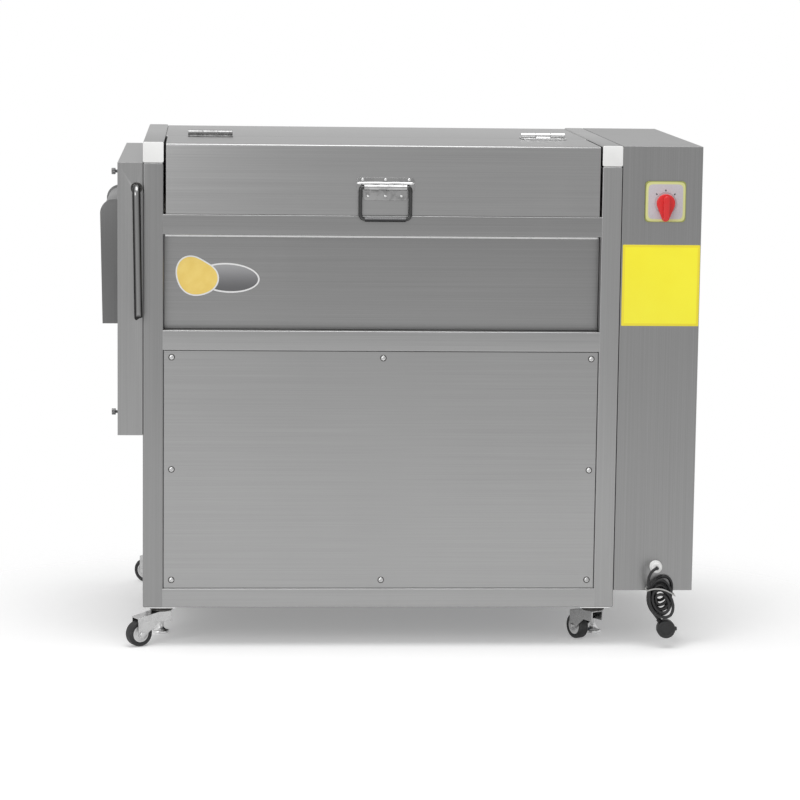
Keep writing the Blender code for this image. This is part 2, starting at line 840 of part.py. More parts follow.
half_width, half_foot = handle_width / 2, handle_foot_width / 2
shoulder = handle_axis_z - barrel_radius
foot_corner_x, foot_corner_z = half_foot - leaf_corner, handle_bottom + leaf_corner
top_corner_x, top_corner_z = half_width - leaf_corner, handle_top - leaf_corner
outline = [(handle_x - half_width, shoulder), (handle_x - half_foot, shoulder - barrel_wall)]
for centre_x, centre_z, first in (
    (handle_x - foot_corner_x, foot_corner_z, 2 * quarter),
    (handle_x + foot_corner_x, foot_corner_z, 3 * quarter),
):
    outline += arc((centre_x, centre_z), leaf_corner, first, first + quarter, handle_steps)
outline += [(handle_x + half_foot, shoulder - barrel_wall), (handle_x + half_width, shoulder)]
for centre_x, first in ((handle_x + top_corner_x, 0), (handle_x - top_corner_x, quarter)):
    outline += arc((centre_x, top_corner_z), leaf_corner, first, first + quarter, handle_steps)
handle_plate = prism(
    "handle_plate", outline, "Y", handle_back - handle_plate_thickness, handle_back, bright_steel
)
half_barrel = barrel_length / 2
barrel = [(barrel_radius, handle_x - half_barrel), (barrel_radius, handle_x + half_barrel)]
fuse(handle_plate, turned("handle_barrel", barrel, "X", (bail_y, handle_axis_z), handle_sides, bright_steel))
past_barrel = half_barrel + overrun
bore_radius = bail_radius + bail_clearance
bore = [(bore_radius, handle_x - past_barrel), (bore_radius, handle_x + past_barrel)]
cut(handle_plate, turned("handle_bore", bore, "X", (bail_y, handle_axis_z), handle_sides, bright_steel))


def bail_path():
    """From inside one end of the barrel, out, down, across and back up into the other end."""
    arm, bottom = bail_arms / 2, handle_axis_z - bail_drop
    hook = half_barrel - bail_hook
    corner = bail_bend / 2
    left = [(-hook, handle_axis_z)]
    left += arc((-arm + corner, handle_axis_z - corner), corner, quarter, 2 * quarter, 4)
    left += arc((-arm + bail_bend, bottom + bail_bend), bail_bend, 2 * quarter, 3 * quarter, 6)
    flat = left + [(-x, z) for x, z in left[::-1]]
    return [(handle_x + x, bail_y, z) for x, z in flat]


bail = rod("handle_bail", bail_path(), bail_radius, 2, bright_steel)
grip_wall = [
    (bail_radius + gap, handle_x - grip_length / 2),
    (grip_radius, handle_x - grip_length / 2),
    (grip_radius, handle_x + grip_length / 2),
    (bail_radius + gap, handle_x + grip_length / 2),
]
grip_place = (bail_y, handle_axis_z - bail_drop)
grip = turned("handle_grip", grip_wall, "X", grip_place, handle_sides, black_plastic, closed=True)
bail_carrier = carried("handle_axis", (handle_x, bail_y, handle_axis_z), [bail, grip])
lid_carrier = carried(
    "lid_axis",
    (frame_length / 2, hinge_line, hinge_z),
    [lid, left_hinge[1], right_hinge[1], handle_plate, bail_carrier],
)

# The left end cover with the discharge door that swings out of it
cover_depth = 0.049
cover_height = 0.5327
door_side_margin = 0.1265
door_clearance = 0.0035
door_reach = 0.0870
door_height = 0.279
door_lean = 0.0045
door_corner = 0.028
door_recess = 0.004
door_wall = 0.002
door_cheek = 0.004
door_shaft_x = 0.012
door_shaft_drop = 0.0487
door_shaft_radius = 0.008
door_hub = 0.012
door_shoulder = 0.0315
door_step = 0.040
door_step_share = 0.6
door_back_x = 0.002
door_back_share = 0.5
door_opening_rise = 0.034
door_opening_margin = 0.008
bush_radius = 0.0112
bush_length = 0.003
bush_sides = 20
door_sides = 16
cover_bottom = post_top - cover_height
door_width = frame_depth - 2 * door_side_margin
door_shaft_z = post_top - door_shaft_drop
door_bottom = door_shaft_z - door_height
door_opening_top = door_shaft_z + door_opening_rise

low_corner = (-cover_depth, 0, cover_bottom)
high_corner = (-gap, frame_depth, post_top)
left_end_cover = tray("left_end_cover", low_corner, high_corner, "X", True, sheet, steel)
half_door = door_width / 2
half_opening = half_door + door_clearance
low_corner = (-cover_depth - overrun, middle_y - half_opening, door_bottom - door_opening_margin)
high_corner = (-cover_depth + overrun, middle_y + half_opening, door_opening_top)
cut(left_end_cover, block("door_opening", low_corner, high_corner, steel))
shaft_place = (-door_shaft_x, door_shaft_z)
bush = [(bush_radius, sheet / 2), (bush_radius, -bush_length)]
fuse(left_end_cover, turned("door_bush", bush, "Y", shaft_place, bush_sides, steel))
hole_radius = door_shaft_radius + shaft_clearance
shaft_hole = [(hole_radius, -bush_length - overrun), (hole_radius, frame_depth + overrun)]
cut(left_end_cover, turned("door_shaft_hole", shaft_hole, "Y", shaft_place, door_sides, steel))


def hood_outline(inset, past):
    """The door's section across Y: round its shaft, down to a flat top, over a round corner and down to a
    drawn-in foot."""
    outer_x, foot_x = -door_reach + inset, -door_reach + door_lean + inset
    radius = door_corner - inset
    centre = (-door_reach + door_corner, door_shaft_z - door_shoulder - door_corner)
    foot = door_bottom + inset
    back = -door_back_x + past
    points = [(back, foot), (foot_x, foot)]
    points += arc(centre, radius, 2 * quarter, quarter, 6)
    points.append((-door_step + inset * door_step_share, centre[1] + radius))
    hub = door_hub - inset
    points += arc((-door_shaft_x, door_shaft_z), hub, 3 * quarter / 2, quarter / 2, 4)
    points += [(back, door_shaft_z + hub * door_back_share)]
    return points


def discharge_door():
    front, back = middle_y - half_door, middle_y + half_door
    outline = hood_outline(0, 0)
    piece = prism("discharge_door", outline, "Y", front, front + door_cheek, dark_steel)
    fuse(piece, prism("door_far_cheek", outline, "Y", back - door_cheek, back, dark_steel))
    skin = hood_outline(door_recess, 0)
    fuse(piece, prism("door_skin", skin, "Y", front + door_wall, back - door_wall, dark_steel))
    hollow = hood_outline(door_recess + door_wall, overrun)
    cut(piece, prism("door_hollow", hollow, "Y", front + door_cheek, back - door_cheek, dark_steel))
    bore = [(door_shaft_radius + gap, front - overrun), (door_shaft_radius + gap, back + overrun)]
    return cut(piece, turned("door_bore", bore, "Y", shaft_place, door_sides, dark_steel))


door = discharge_door()
lever_y = 0.020
lever_length = 0.252
lever_lean = 0.0045
lever_bend = 0.014
lever_bottom = door_shaft_z - lever_length
door_shaft_back = frame_depth + bush_length
bend = arc((-lever_y + lever_bend, door_shaft_z - lever_bend), lever_bend, quarter, 2 * quarter, 6)
lever_path = [(-door_shaft_x, door_shaft_back, door_shaft_z)]
lever_path += [(-door_shaft_x, y, z) for y, z in bend]
lever_path += [(-door_shaft_x + lever_lean, -lever_y, lever_bottom)]
door_lever = rod("door_lever", lever_path, door_shaft_radius, 3, bright_steel)
door_carrier = carried("door_axis", (-door_shaft_x, middle_y, door_shaft_z), [door, door_lever])

# The drive cabinet on the right, with its switch
cabinet_width = 0.157
cabinet_bottom = 0.0345
cabinet_right = frame_length + cabinet_width
switch_inset = 0.0845
switch_drop = 0.1075
switch_size = 0.080
switch_thickness = 0.004
switch_corner = 0.005
switch_body_radius = 0.024
switch_body_depth = 0.045
knob_radius = 0.0195
knob_tail = 0.0310
knob_tail_radius = 0.0050
knob_height = 0.019
knob_shoulder = 0.0152
knob_draft = 0.00075
knob_edge = 0.003
knob_stem = 0.004
stem_sides = 12
knob_drop = 0.003
gland_inset = 0.083
gland_rise = 0.049
gland_thread = 0.008
cabinet_hole_sides = 20
cord_radius = 0.003
switch_x = frame_length + switch_inset
switch_z = frame_height - switch_drop
knob_z = switch_z - knob_drop
gland_x = frame_length + gland_inset
gland_z = cabinet_bottom + gland_rise

low_corner = (frame_length + gap, 0, cabinet_bottom)
high_corner = (cabinet_right, frame_depth, frame_height)
drive_cabinet = tray("drive_cabinet", low_corner, high_corner, "X", False, sheet, steel)
for name, radius, place in (
    ("switch_hole", switch_body_radius, (switch_x, knob_z)),
    ("gland_hole", gland_thread, (gland_x, gland_z)),
):
    cylinder = [(radius + gap, -overrun), (radius + gap, sheet + overrun)]
    cut(drive_cabinet, turned(name, cylinder, "Y", place, cabinet_hole_sides, steel))

half_switch = switch_size / 2
switch_low, switch_high = switch_z - half_switch, switch_z + half_switch
face = round_rectangle(switch_x - half_switch, switch_x + half_switch, switch_low, switch_high, switch_corner)
switch_plate = prism("switch_plate", face, "Y", -gap - switch_thickness, -gap, pale_plastic)
body = [
    (switch_body_radius - gap, -gap - switch_thickness / 2),
    (switch_body_radius - gap, switch_body_depth),
]
fuse(switch_plate, turned("switch_body", body, "Y", (switch_x, knob_z), cabinet_hole_sides, black_plastic))
stem_hole = [
    (knob_stem + shaft_clearance, -switch_thickness - overrun),
    (knob_stem + shaft_clearance, switch_body_depth / 2),
]
cut(switch_plate, turned("stem_hole", stem_hole, "Y", (switch_x, knob_z), stem_sides, pale_plastic))


def knob_outline(inset):
    """A round knob with a tapered tail that points down, drawn in by an inset."""
    big, small = knob_radius - inset, knob_tail_radius - inset
    tilt = math.asin((big - small) / knob_tail)
    crown = arc((switch_x, knob_z), big, -tilt, math.pi + tilt, 18)
    tip = arc((switch_x, knob_z - knob_tail), small, math.pi + tilt, 2 * math.pi - tilt, 6)
    return crown + tip


knob_base = -gap - switch_thickness - gap
knob_levels = (
    (0, knob_base),
    (knob_draft, knob_base - knob_shoulder),
    (knob_edge, knob_base - knob_height),
)
loops = [[(x, y, z) for x, z in knob_outline(inset)] for inset, y in knob_levels]
switch_knob = rings("switch_knob", loops, red_plastic)
stem = [(knob_stem, knob_base - knob_height / 2), (knob_stem, switch_body_depth / 2 - gap)]
fuse(switch_knob, turned("knob_stem", stem, "Y", (switch_x, knob_z), stem_sides, red_plastic))
carried("knob_axis", (switch_x, knob_base, knob_z), [switch_knob])

# Swivel casters under the four corners
wheel_radius = 0.0255
wheel_width = 0.020
wheel_clearance = 0.0005
trail = 0.050
fork_sheet = 0.0025
fork_side_clearance = 0.0015
axle_radius = 0.003
axle_head = 0.0055
axle_head_height = 0.0025
fork_back = 0.016
fork_end = 0.008
fork_drop = 0.009
fork_shoulder = 0.012
fork_neck = 0.021
fork_underside = math.radians(117)
tyre_side = 0.006
tyre_shoulder = 0.002
tyre_round = 0.004
tyre_round_radius = 0.0013
hub_radius = 0.0150
hub_recess = 0.0015
hub_boss = 0.007
hub_slope = 0.00075
wheel_sides = 20
axle_sides = 12
crown_top = -caster_plate - race_height - gap
axle_z = floor + wheel_clearance + wheel_radius
fork_half = wheel_width / 2 + fork_side_clearance + fork_sheet
caster_headings = {
    "front_left": math.radians(209),
    "front_right": math.radians(120),
    "rear_left": math.radians(148),
    "rear_right": math.radians(195),
}


def fork_outline(inset):
    """The fork's cheek: level over the swivel, falling to the wheel, round the axle and up under the neck."""
    end = trail + fork_end
    outline = [(-fork_back, crown_top - inset), (fork_shoulder, crown_top - inset)]
    outline += [(end, crown_top - fork_drop - inset), (end, axle_z)]
    outline += arc((trail, axle_z), fork_end, 0, -fork_underside, 6)
    outline += [(fork_shoulder, crown_top - fork_neck - inset), (-fork_back, crown_top - fork_neck)]
    return outline


def caster(corner, x, y):
    """A pressed fork that swivels about the origin of its object, and the wheel on its axle."""
    name = f"caster_fork_{corner}"
    outline = fork_outline(0)
    fork = prism(name, outline, "Y", -fork_half, fork_half, bright_steel)
    reach = trail + fork_end + overrun
    under_crown, under_end = crown_top - fork_sheet, crown_top - fork_drop - fork_sheet
    channel = [(-fork_back - overrun, under_crown), (fork_shoulder, under_crown)]
    channel += [(trail + fork_end, under_end), (reach, under_end)]
    channel += [(reach, floor), (-fork_back - overrun, floor)]
    inner = fork_half - fork_sheet
    cut(fork, prism(name + "_channel", channel, "Y", -inner, inner, bright_steel))
    head = fork_half + axle_head_height
    axle = [
        (axle_head, -head),
        (axle_head, -fork_half + fork_sheet / 2),
        (axle_radius, -fork_half + fork_sheet / 2),
        (axle_radius, fork_half - fork_sheet / 2),
        (axle_head, fork_half - fork_sheet / 2),
        (axle_head, head),
    ]
    fuse(fork, turned(name + "_axle", axle, "Y", (trail, axle_z), axle_sides, bright_steel))
    fork.location = (x, y, 0)
    fork.rotation_euler = (0, 0, caster_headings[corner])
    half = wheel_width / 2
    hub_half = half - hub_recess
    profile = [
        (axle_radius + shaft_clearance, -half),
        (hub_boss, -half),
        (hub_boss + hub_recess, -hub_half),
        (hub_radius, -hub_half),
        (hub_radius + hub_recess, -half + hub_slope),
        (wheel_radius - tyre_round, -half),
        (wheel_radius - tyre_round_radius, -half + tyre_shoulder),
        (wheel_radius, -half + tyre_side),
    ]
    profile += [(radius, -along) for radius, along in profile[::-1]]
    wheel = turned(f"caster_wheel_{corner}", profile, "Y", (0, 0), wheel_sides, black_rubber, closed=True)
    wheel.location = (trail, 0, axle_z)
    wheel.parent = fork
    return fork


corners = {
    "front_left": (caster_inset, caster_inset),
    "front_right": (frame_length - caster_inset, caster_inset),
    "rear_left": (caster_inset, frame_depth - caster_inset),
    "rear_right": (frame_length - caster_inset, frame_depth - caster_inset),
}
for corner, (x, y) in corners.items():
    caster(corner, x, y)

# Levelling feet beside the casters, clear of the circle that each wheel can sweep
foot_setback = 0.132
foot_insets = {"left": 0.033, "right": 0.022}
foot_pad = 0.017
foot_pad_edge = 0.001
foot_neck = 0.0091
foot_waist = 0.0065
foot_flange = 0.0155
foot_screw = 0.005
foot_screw_end = 0.024
foot_thread_relief = 0.002
foot_sides = 12
foot_hole_sides = 16
foot_profile_heights = (0.006, 0.012, 0.020, 0.030, 0.034, 0.038)
pad_top, pad_shoulder, waist, nut_low, nut_high, nut_top = (floor + h for h in foot_profile_heights)


def levelling_foot(corner):
    """A pad on a waisted screw, in a threaded hole in the bottom tube."""
    row, side = corner.split("_")
    x = foot_insets[side] if side == "left" else frame_length - foot_insets[side]
    y = foot_setback if row == "front" else frame_depth - foot_setback
    profile = [
        (foot_pad - foot_pad_edge, floor),
        (foot_pad, floor + foot_pad_edge),
        (foot_pad, pad_top),
        (foot_neck, pad_shoulder),
        (foot_waist, waist),
        (foot_neck, nut_low),
        (foot_flange, nut_high),
        (foot_flange, nut_top),
        (foot_screw, nut_top + foot_thread_relief),
        (foot_screw, foot_screw_end),
    ]
    foot = turned(f"levelling_foot_{corner}", profile, "Z", (x, y), foot_sides, bright_steel)
    rail = bottom_rails[0] if side == "left" else bottom_rails[1]
    hole = [(foot_screw + shaft_clearance, -overrun), (foot_screw + shaft_clearance, tube_wall + overrun)]
    cut(rail, turned(f"foot_hole_{corner}", hole, "Z", (x, y), foot_hole_sides, steel))
    carried(f"foot_axis_{corner}", (x, y, floor), [foot])


for corner in corners:
    levelling_foot(corner)

# The mains cord: a gland, a short free stretch, a tied hank and the plug
gland_radius = 0.0125
gland_reach = 0.020
gland_nut = 0.009
gland_cone = 0.0112
gland_cone_end = 0.0106
gland_mouth = 0.0066
gland_step = 0.002
gland_sides = 20
hank_shift = 0.0090
hank_drop = 0.060
hank_x = gland_x + hank_shift
hank_z = gland_z - hank_drop
hank_radius = 0.0235
hank_height_share = 1.5
hank_layers = 4
turns_a_layer = 2
hank_pitch = 0.0072
loop_points = 24
points_a_climb = 12
hank_first = math.pi
hank_last = math.radians(230)
plug_run = 0.0210
plug_y = -0.0125
plug_radius = 0.0185
plug_depth = 0.022
plug_neck = 0.0055
plug_neck_flare = 0.0077
plug_neck_length = 0.006
plug_edge = 0.002
plug_sides = 24
pin_sides = 8
plug_tab = 0.004
pin_radius = 0.0024
pin_length = 0.019
pin_spacing = 0.019
tie_width = 0.005
tie_wall = 0.0012
tie_at = math.radians(90)
tie_reach = math.radians(11.25)

gland = turned(
    "cord_gland",
    [
        (gland_radius, -gap),
        (gland_radius, -gland_nut),
        (gland_cone, -gland_nut - gland_step),
        (gland_cone_end, -gland_reach + gland_step),
        (gland_mouth, -gland_reach),
        (cord_radius + gap, -gland_reach),
        (cord_radius + gap, gland_thread),
        (gland_thread, gland_thread),
        (gland_thread, -gap),
    ],
    "Y",
    (gland_x, gland_z),
    gland_sides,
    white_plastic,
    closed=True,
)


def smooth_route(points, step):
    """A smooth curve through hand-placed points, with a point about every step along it."""
    points = np.array(points, float)
    ends = np.vstack([2 * points[0] - points[1], points, 2 * points[-1] - points[-2]])
    path = []
    for a, b, c, d in zip(ends[:-3], ends[1:-2], ends[2:-1], ends[3:]):
        count = max(1, round(float(np.linalg.norm(c - b)) / step))
        for t in np.arange(count) / count:
            curved = (2 * a - 5 * b + 4 * c - d) * t**2 + (3 * b - 3 * c + d - a) * t**3
            path.append((2 * b + (c - a) * t + curved) / 2)
    path.append(points[-1])
    return np.array(path)


def hank_loops():
    """Long loops in layers: a spiral that runs in and out again and climbs a layer at each of its ends."""
    climb_half = points_a_climb / loop_points / 2
    last_turn = (hank_last - hank_first) / (2 * math.pi) + hank_layers * turns_a_layer
    reach = turns_a_layer - climb_half
    knots, radii, climbs = [0], [hank_radius], [0]
    for layer in range(1, hank_layers):
        inward = reach if layer % 2 else climb_half
        knots += [layer * turns_a_layer - climb_half, layer * turns_a_layer + climb_half]
        radii += [hank_radius - hank_pitch * inward] * 2
        climbs += [layer - 1, layer]
    knots.append(last_turn)
    radii.append(radii[-1] + hank_pitch * (last_turn - knots[-2]))
    climbs.append(hank_layers - 1)
    turns = np.linspace(0, last_turn, round(last_turn * loop_points) + 1)
    radius = np.interp(turns, knots, radii)
    angle = hank_first + 2 * math.pi * turns
    back = -gap - tie_wall - gap - cord_radius
    front = back - hank_pitch * (hank_layers - 1)
    y = front + hank_pitch * np.interp(turns, knots, climbs)
    rise = radius * hank_height_share * np.sin(angle)
    return np.column_stack([hank_x + radius * np.cos(angle), y, hank_z + rise])


def straight(start, way, length, step):
    """Points along a straight run, without its first one."""
    count = max(1, round(length / step))
    return [np.array(start) + np.array(way) * length * (number + 1) / count for number in range(count)]


hank = hank_loops()
leaving = np.array([-math.sin(hank_last), 0, hank_height_share * math.cos(hank_last)])
leaving /= np.linalg.norm(leaving)
lead = 2 * cord_radius
plug_entry = hank[-1] + leaving * plug_run
plug_entry[1] = plug_y
run_out = straight(hank[-1], leaving, plug_run - lead, lead)
for number, point in enumerate(run_out):
    share = (number + 1) / len(run_out)
    point[1] += (plug_y - point[1]) * share * share * (3 - 2 * share)
run_in = hank[0] + np.array([0, 0, lead])
hank_path = np.vstack([[run_in], hank, run_out, [plug_entry]])
between = np.linalg.norm(hank_path[:, None] - hank_path[None], axis=2)
order = np.arange(len(hank_path))
apart = np.abs(order[:, None] - order[None]) > loop_points / 4
print("least gap of the hank to itself:", round(float(between[apart].min()) - 2 * cord_radius, 5), "m")
cord_hank = rod("cord_hank", hank_path, cord_radius, 1, black_rubber)

# The free stretch: its middle points were placed by eye, as offsets from the gland's place
tail_offsets = (
    (0, -0.0265, 0),
    (-0.0050, -0.0350, 0.0010),
    (-0.0125, -0.0385, -0.0040),
    (-0.0180, -0.0370, -0.0170),
    (-0.0170, -0.0310, -0.0340),
)
tail_step = 0.0045
tail_end = run_in + np.array([0, 0, gap])
tail_route = [(gland_x, -gland_reach - gap, gland_z)]
tail_route += [(gland_x + x, y, gland_z + z) for x, y, z in tail_offsets]
tail_route += [tail_end + np.array([0, 0, lead]), tail_end]
tail_path = smooth_route(tail_route, tail_step)
cord_tail = rod("cord_tail", tail_path, cord_radius, 2, black_rubber)
cord_runs = [np.linalg.norm(np.diff(path, axis=0), axis=1) for path in (tail_path, hank_path)]
cord_length = sum(float(run.sum()) for run in cord_runs)
print("cord length:", round(cord_length, 3), "m; diameter:", 2 * cord_radius, "m")


def mains_plug():
    """A flat round plug with its cord in at the side, a grip tab across from it and its pins at the back."""
    half = plug_depth / 2
    front, back = plug_y - half, plug_y + half
    way = np.array([leaving[0], leaving[2]])
    entry = np.array([plug_entry[0], plug_entry[2]]) + way * gap
    centre = entry + way * (plug_neck_length + plug_radius)
    profile = [
        (plug_radius - plug_edge, front),
        (plug_radius, front + plug_edge),
        (plug_radius, back - plug_edge),
        (plug_radius - plug_edge, back),
    ]
    piece = turned("mains_plug", profile, "Y", centre, plug_sides, black_rubber)
    side = np.array([-way[1], way[0]])
    neck = [entry + side * plug_neck, entry - side * plug_neck]
    inside = centre - way * plug_radius / 2
    neck += [inside - side * plug_neck_flare, inside + side * plug_neck_flare]
    fuse(piece, prism("plug_neck", neck, "Y", plug_y - plug_neck, plug_y + plug_neck, black_rubber))
    tab = rectangle(centre[0], centre[0] + plug_radius + plug_tab, centre[1] - plug_tab, centre[1] + plug_tab)
    fuse(piece, prism("plug_tab", tab, "Y", plug_y - plug_tab, plug_y + plug_tab, black_rubber))
    for turn in (-1, 1):
        pin = [(pin_radius, back - overrun), (pin_radius, back + pin_length)]
        place = centre + side * turn * pin_spacing / 2
        fuse(piece, turned(f"plug_pin_{turn}", pin, "Y", place, pin_sides, bright_steel))
    return piece


mains_plug()


def cord_tie():
    """A flat band round all the loops of the hank, at one place of its circle."""
    offsets = hank[:, [0, 2]] - np.array([hank_x, hank_z])
    radius = np.hypot(offsets[:, 0], offsets[:, 1])
    toward = np.array([math.cos(tie_at), math.sin(tie_at)])
    near = offsets @ toward > radius * math.cos(tie_reach)
    outside = cord_radius + gap
    low_r, high_r = radius[near].min() - outside, radius[near].max() + outside
    front, back = hank[near, 1].min() - outside, hank[near, 1].max() + outside
    across = np.array([-toward[1], toward[0]])
    loops = []
    for grown, sides in ((0, (0.5, -0.5)), (tie_wall, (-0.5, 0.5))):
        limits = (low_r - grown, high_r + grown, front - grown, back + grown)
        section = round_rectangle(*limits, cord_radius + grown, 4)
        for side in sides:
            spots = [toward * r + across * side * tie_width for r, y in section]
            loops.append([(hank_x + a, y, hank_z + b) for (a, b), (r, y) in zip(spots, section)])
    return rings("cord_tie", loops, black_plastic, closed=True)


cord_tie()

# The whole machine hangs on one empty, which puts the middle of its footprint on the world's origin
cord_pieces = ("cord_gland", "cord_tail", "cord_hank", "cord_tie", "mains_plug")
bpy.context.view_layer.update()
graph = bpy.context.evaluated_depsgraph_get()
corners_found = []
for piece in bpy.context.scene.objects:
    if piece.type not in ("MESH", "CURVE") or piece.hide_render or piece.name in cord_pieces:
        continue
    shape = piece.evaluated_get(graph)
    mesh = shape.to_mesh()
    corners_found += [shape.matrix_world @ vertex.co for vertex in mesh.vertices]
    shape.to_mesh_clear()
found = np.array(corners_found)
low, high = found.min(axis=0), found.max(axis=0)
machine = bpy.data.objects.new("machine_origin", None)
bpy.context.scene.collection.objects.link(machine)
for piece in list(bpy.context.scene.objects):
    if piece.parent is None and piece is not machine:
        piece.parent = machine
machine.location = (-(low[0] + high[0]) / 2, -(low[1] + high[1]) / 2, -low[2])
bpy.context.view_layer.update()
print("size:", " x ".join(f"{side:.4f}" for side in high - low), "m")
for piece in bpy.context.scene.objects:
    if piece.type == "EMPTY" or piece.name.startswith("caster"):
        spot = piece.matrix_world.translation
        print(piece.name, "at", " ".join(f"{side:.5f}" for side in spot))
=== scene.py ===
# %% [markdown]
# A stainless machine that washes and peels potatoes on brush rollers. The solids come from a CAD model that is
# loaded here as a fixed frame: they give every place and size. This script gives the looks: it makes finer
# surfaces over the plain solids, and finishes that a reader can take apart node by node.

import math

import bmesh
import bpy
import numpy as np
from mathutils import Matrix, Vector


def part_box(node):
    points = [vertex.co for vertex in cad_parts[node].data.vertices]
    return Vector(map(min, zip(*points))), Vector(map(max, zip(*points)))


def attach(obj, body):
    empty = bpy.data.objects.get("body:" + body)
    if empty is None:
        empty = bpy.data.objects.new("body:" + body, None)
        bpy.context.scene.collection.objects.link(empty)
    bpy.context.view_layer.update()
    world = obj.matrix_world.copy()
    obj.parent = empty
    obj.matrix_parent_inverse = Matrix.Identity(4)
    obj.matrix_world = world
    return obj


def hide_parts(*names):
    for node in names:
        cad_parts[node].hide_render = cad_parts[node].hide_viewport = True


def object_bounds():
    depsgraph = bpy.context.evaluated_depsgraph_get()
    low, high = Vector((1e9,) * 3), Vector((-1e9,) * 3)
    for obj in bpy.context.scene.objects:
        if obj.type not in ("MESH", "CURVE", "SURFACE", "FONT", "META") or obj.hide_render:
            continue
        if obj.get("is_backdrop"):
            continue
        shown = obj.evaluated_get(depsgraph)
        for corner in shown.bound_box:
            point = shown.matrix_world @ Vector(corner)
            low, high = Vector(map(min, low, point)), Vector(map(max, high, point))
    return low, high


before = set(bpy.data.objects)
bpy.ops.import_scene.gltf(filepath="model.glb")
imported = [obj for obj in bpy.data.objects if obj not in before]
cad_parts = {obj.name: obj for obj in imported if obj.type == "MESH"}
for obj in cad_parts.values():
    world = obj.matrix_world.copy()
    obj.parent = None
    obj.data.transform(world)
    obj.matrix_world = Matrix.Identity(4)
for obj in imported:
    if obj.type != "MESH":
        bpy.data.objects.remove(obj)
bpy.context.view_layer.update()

# %% [markdown]
# All places below are told as a fitter would tell them: x from the outer face of the left posts, y from the
# front face of the frame and z from the underside of its tubes. One shift takes them to the CAD's frame. Reading
# it off two solids keeps this script right if the model is moved. Pieces that touch stand a small gap apart.

# %% Where the machine stands
post_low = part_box("front_frame")[0]
zero = np.array([post_low.x, post_low.y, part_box("bottom_rail_left")[0].z])
frame_length, frame_depth, frame_height, tube = 0.934, 0.653, 0.917, 0.040
floor_z, gap = -0.080, 0.0003


def at(x, y, z):
    """A point of the machine in the CAD's frame."""
    return zero + np.array([x, y, z], float)


print("machine's zero in the CAD's frame:", zero.round(5))

# %% [markdown]
# The camera comes first, because everything else is judged through it. Its place was worked out from the
# frame's corners in the photograph: it stands almost 6 m away with a long lens, turned a little to the right,
# looking 8 degrees down. A camera looks along its own -Z, so the matrix holds the right, the up and the back.

# %% Camera
yaw, pitch, roll = 0.0639, 0.1429, 0.0127
focal_pixels, photo_pixels, sensor_mm = 3014.69, 800, 36
ahead = np.array([math.sin(yaw) * math.cos(pitch), math.cos(yaw) * math.cos(pitch), -math.sin(pitch)])
level = np.array([math.cos(yaw), -math.sin(yaw), 0.0])
above = np.cross(level, ahead)
to_right = level * math.cos(roll) + above * math.sin(roll)
to_top = above * math.cos(roll) - level * math.sin(roll)
camera = bpy.data.objects.new("camera", bpy.data.cameras.new("camera"))
bpy.context.scene.collection.objects.link(camera)
camera.data.sensor_width = sensor_mm
camera.data.lens = focal_pixels / photo_pixels * sensor_mm
camera.data.clip_end = 100
turned_camera = Matrix([[to_right[i], to_top[i], -ahead[i], 0] for i in range(3)] + [[0, 0, 0, 1]])
camera.matrix_world = Matrix.Translation(Vector(at(0.1293, -5.8479, 1.2587))) @ turned_camera
bpy.context.scene.camera = camera
print("lens:", round(camera.data.lens, 2), "mm")

# %% [markdown]
# Shader sums are easier to read as Python than as a list of links. A Signal wraps one socket, and each operator
# adds the Math node that it stands for. The reflected forms let a number come first, as in 1 - mask.
# A Finish is one material. Its method add makes any other node: settings first, then what feeds the sockets.


# %% Signals and finishes
def operator(operation, reflected=False):
    """A method that adds one Math node, fed by a signal and by another signal or a number."""
    def method(self, other=0):
        values = (other, self) if reflected else (self, other)
        return self.finish.add("ShaderNodeMath", {"operation": operation}, dict(enumerate(values)))
    return method


class Signal:
    def __init__(self, finish, socket):
        self.finish, self.socket = finish, socket

    __add__ = __radd__ = operator("ADD")
    __mul__ = __rmul__ = operator("MULTIPLY")
    __sub__, __rsub__ = operator("SUBTRACT"), operator("SUBTRACT", reflected=True)
    __pow__, __lt__, __gt__ = operator("POWER"), operator("LESS_THAN"), operator("GREATER_THAN")
    __abs__, or_more = operator("ABSOLUTE"), operator("MAXIMUM")


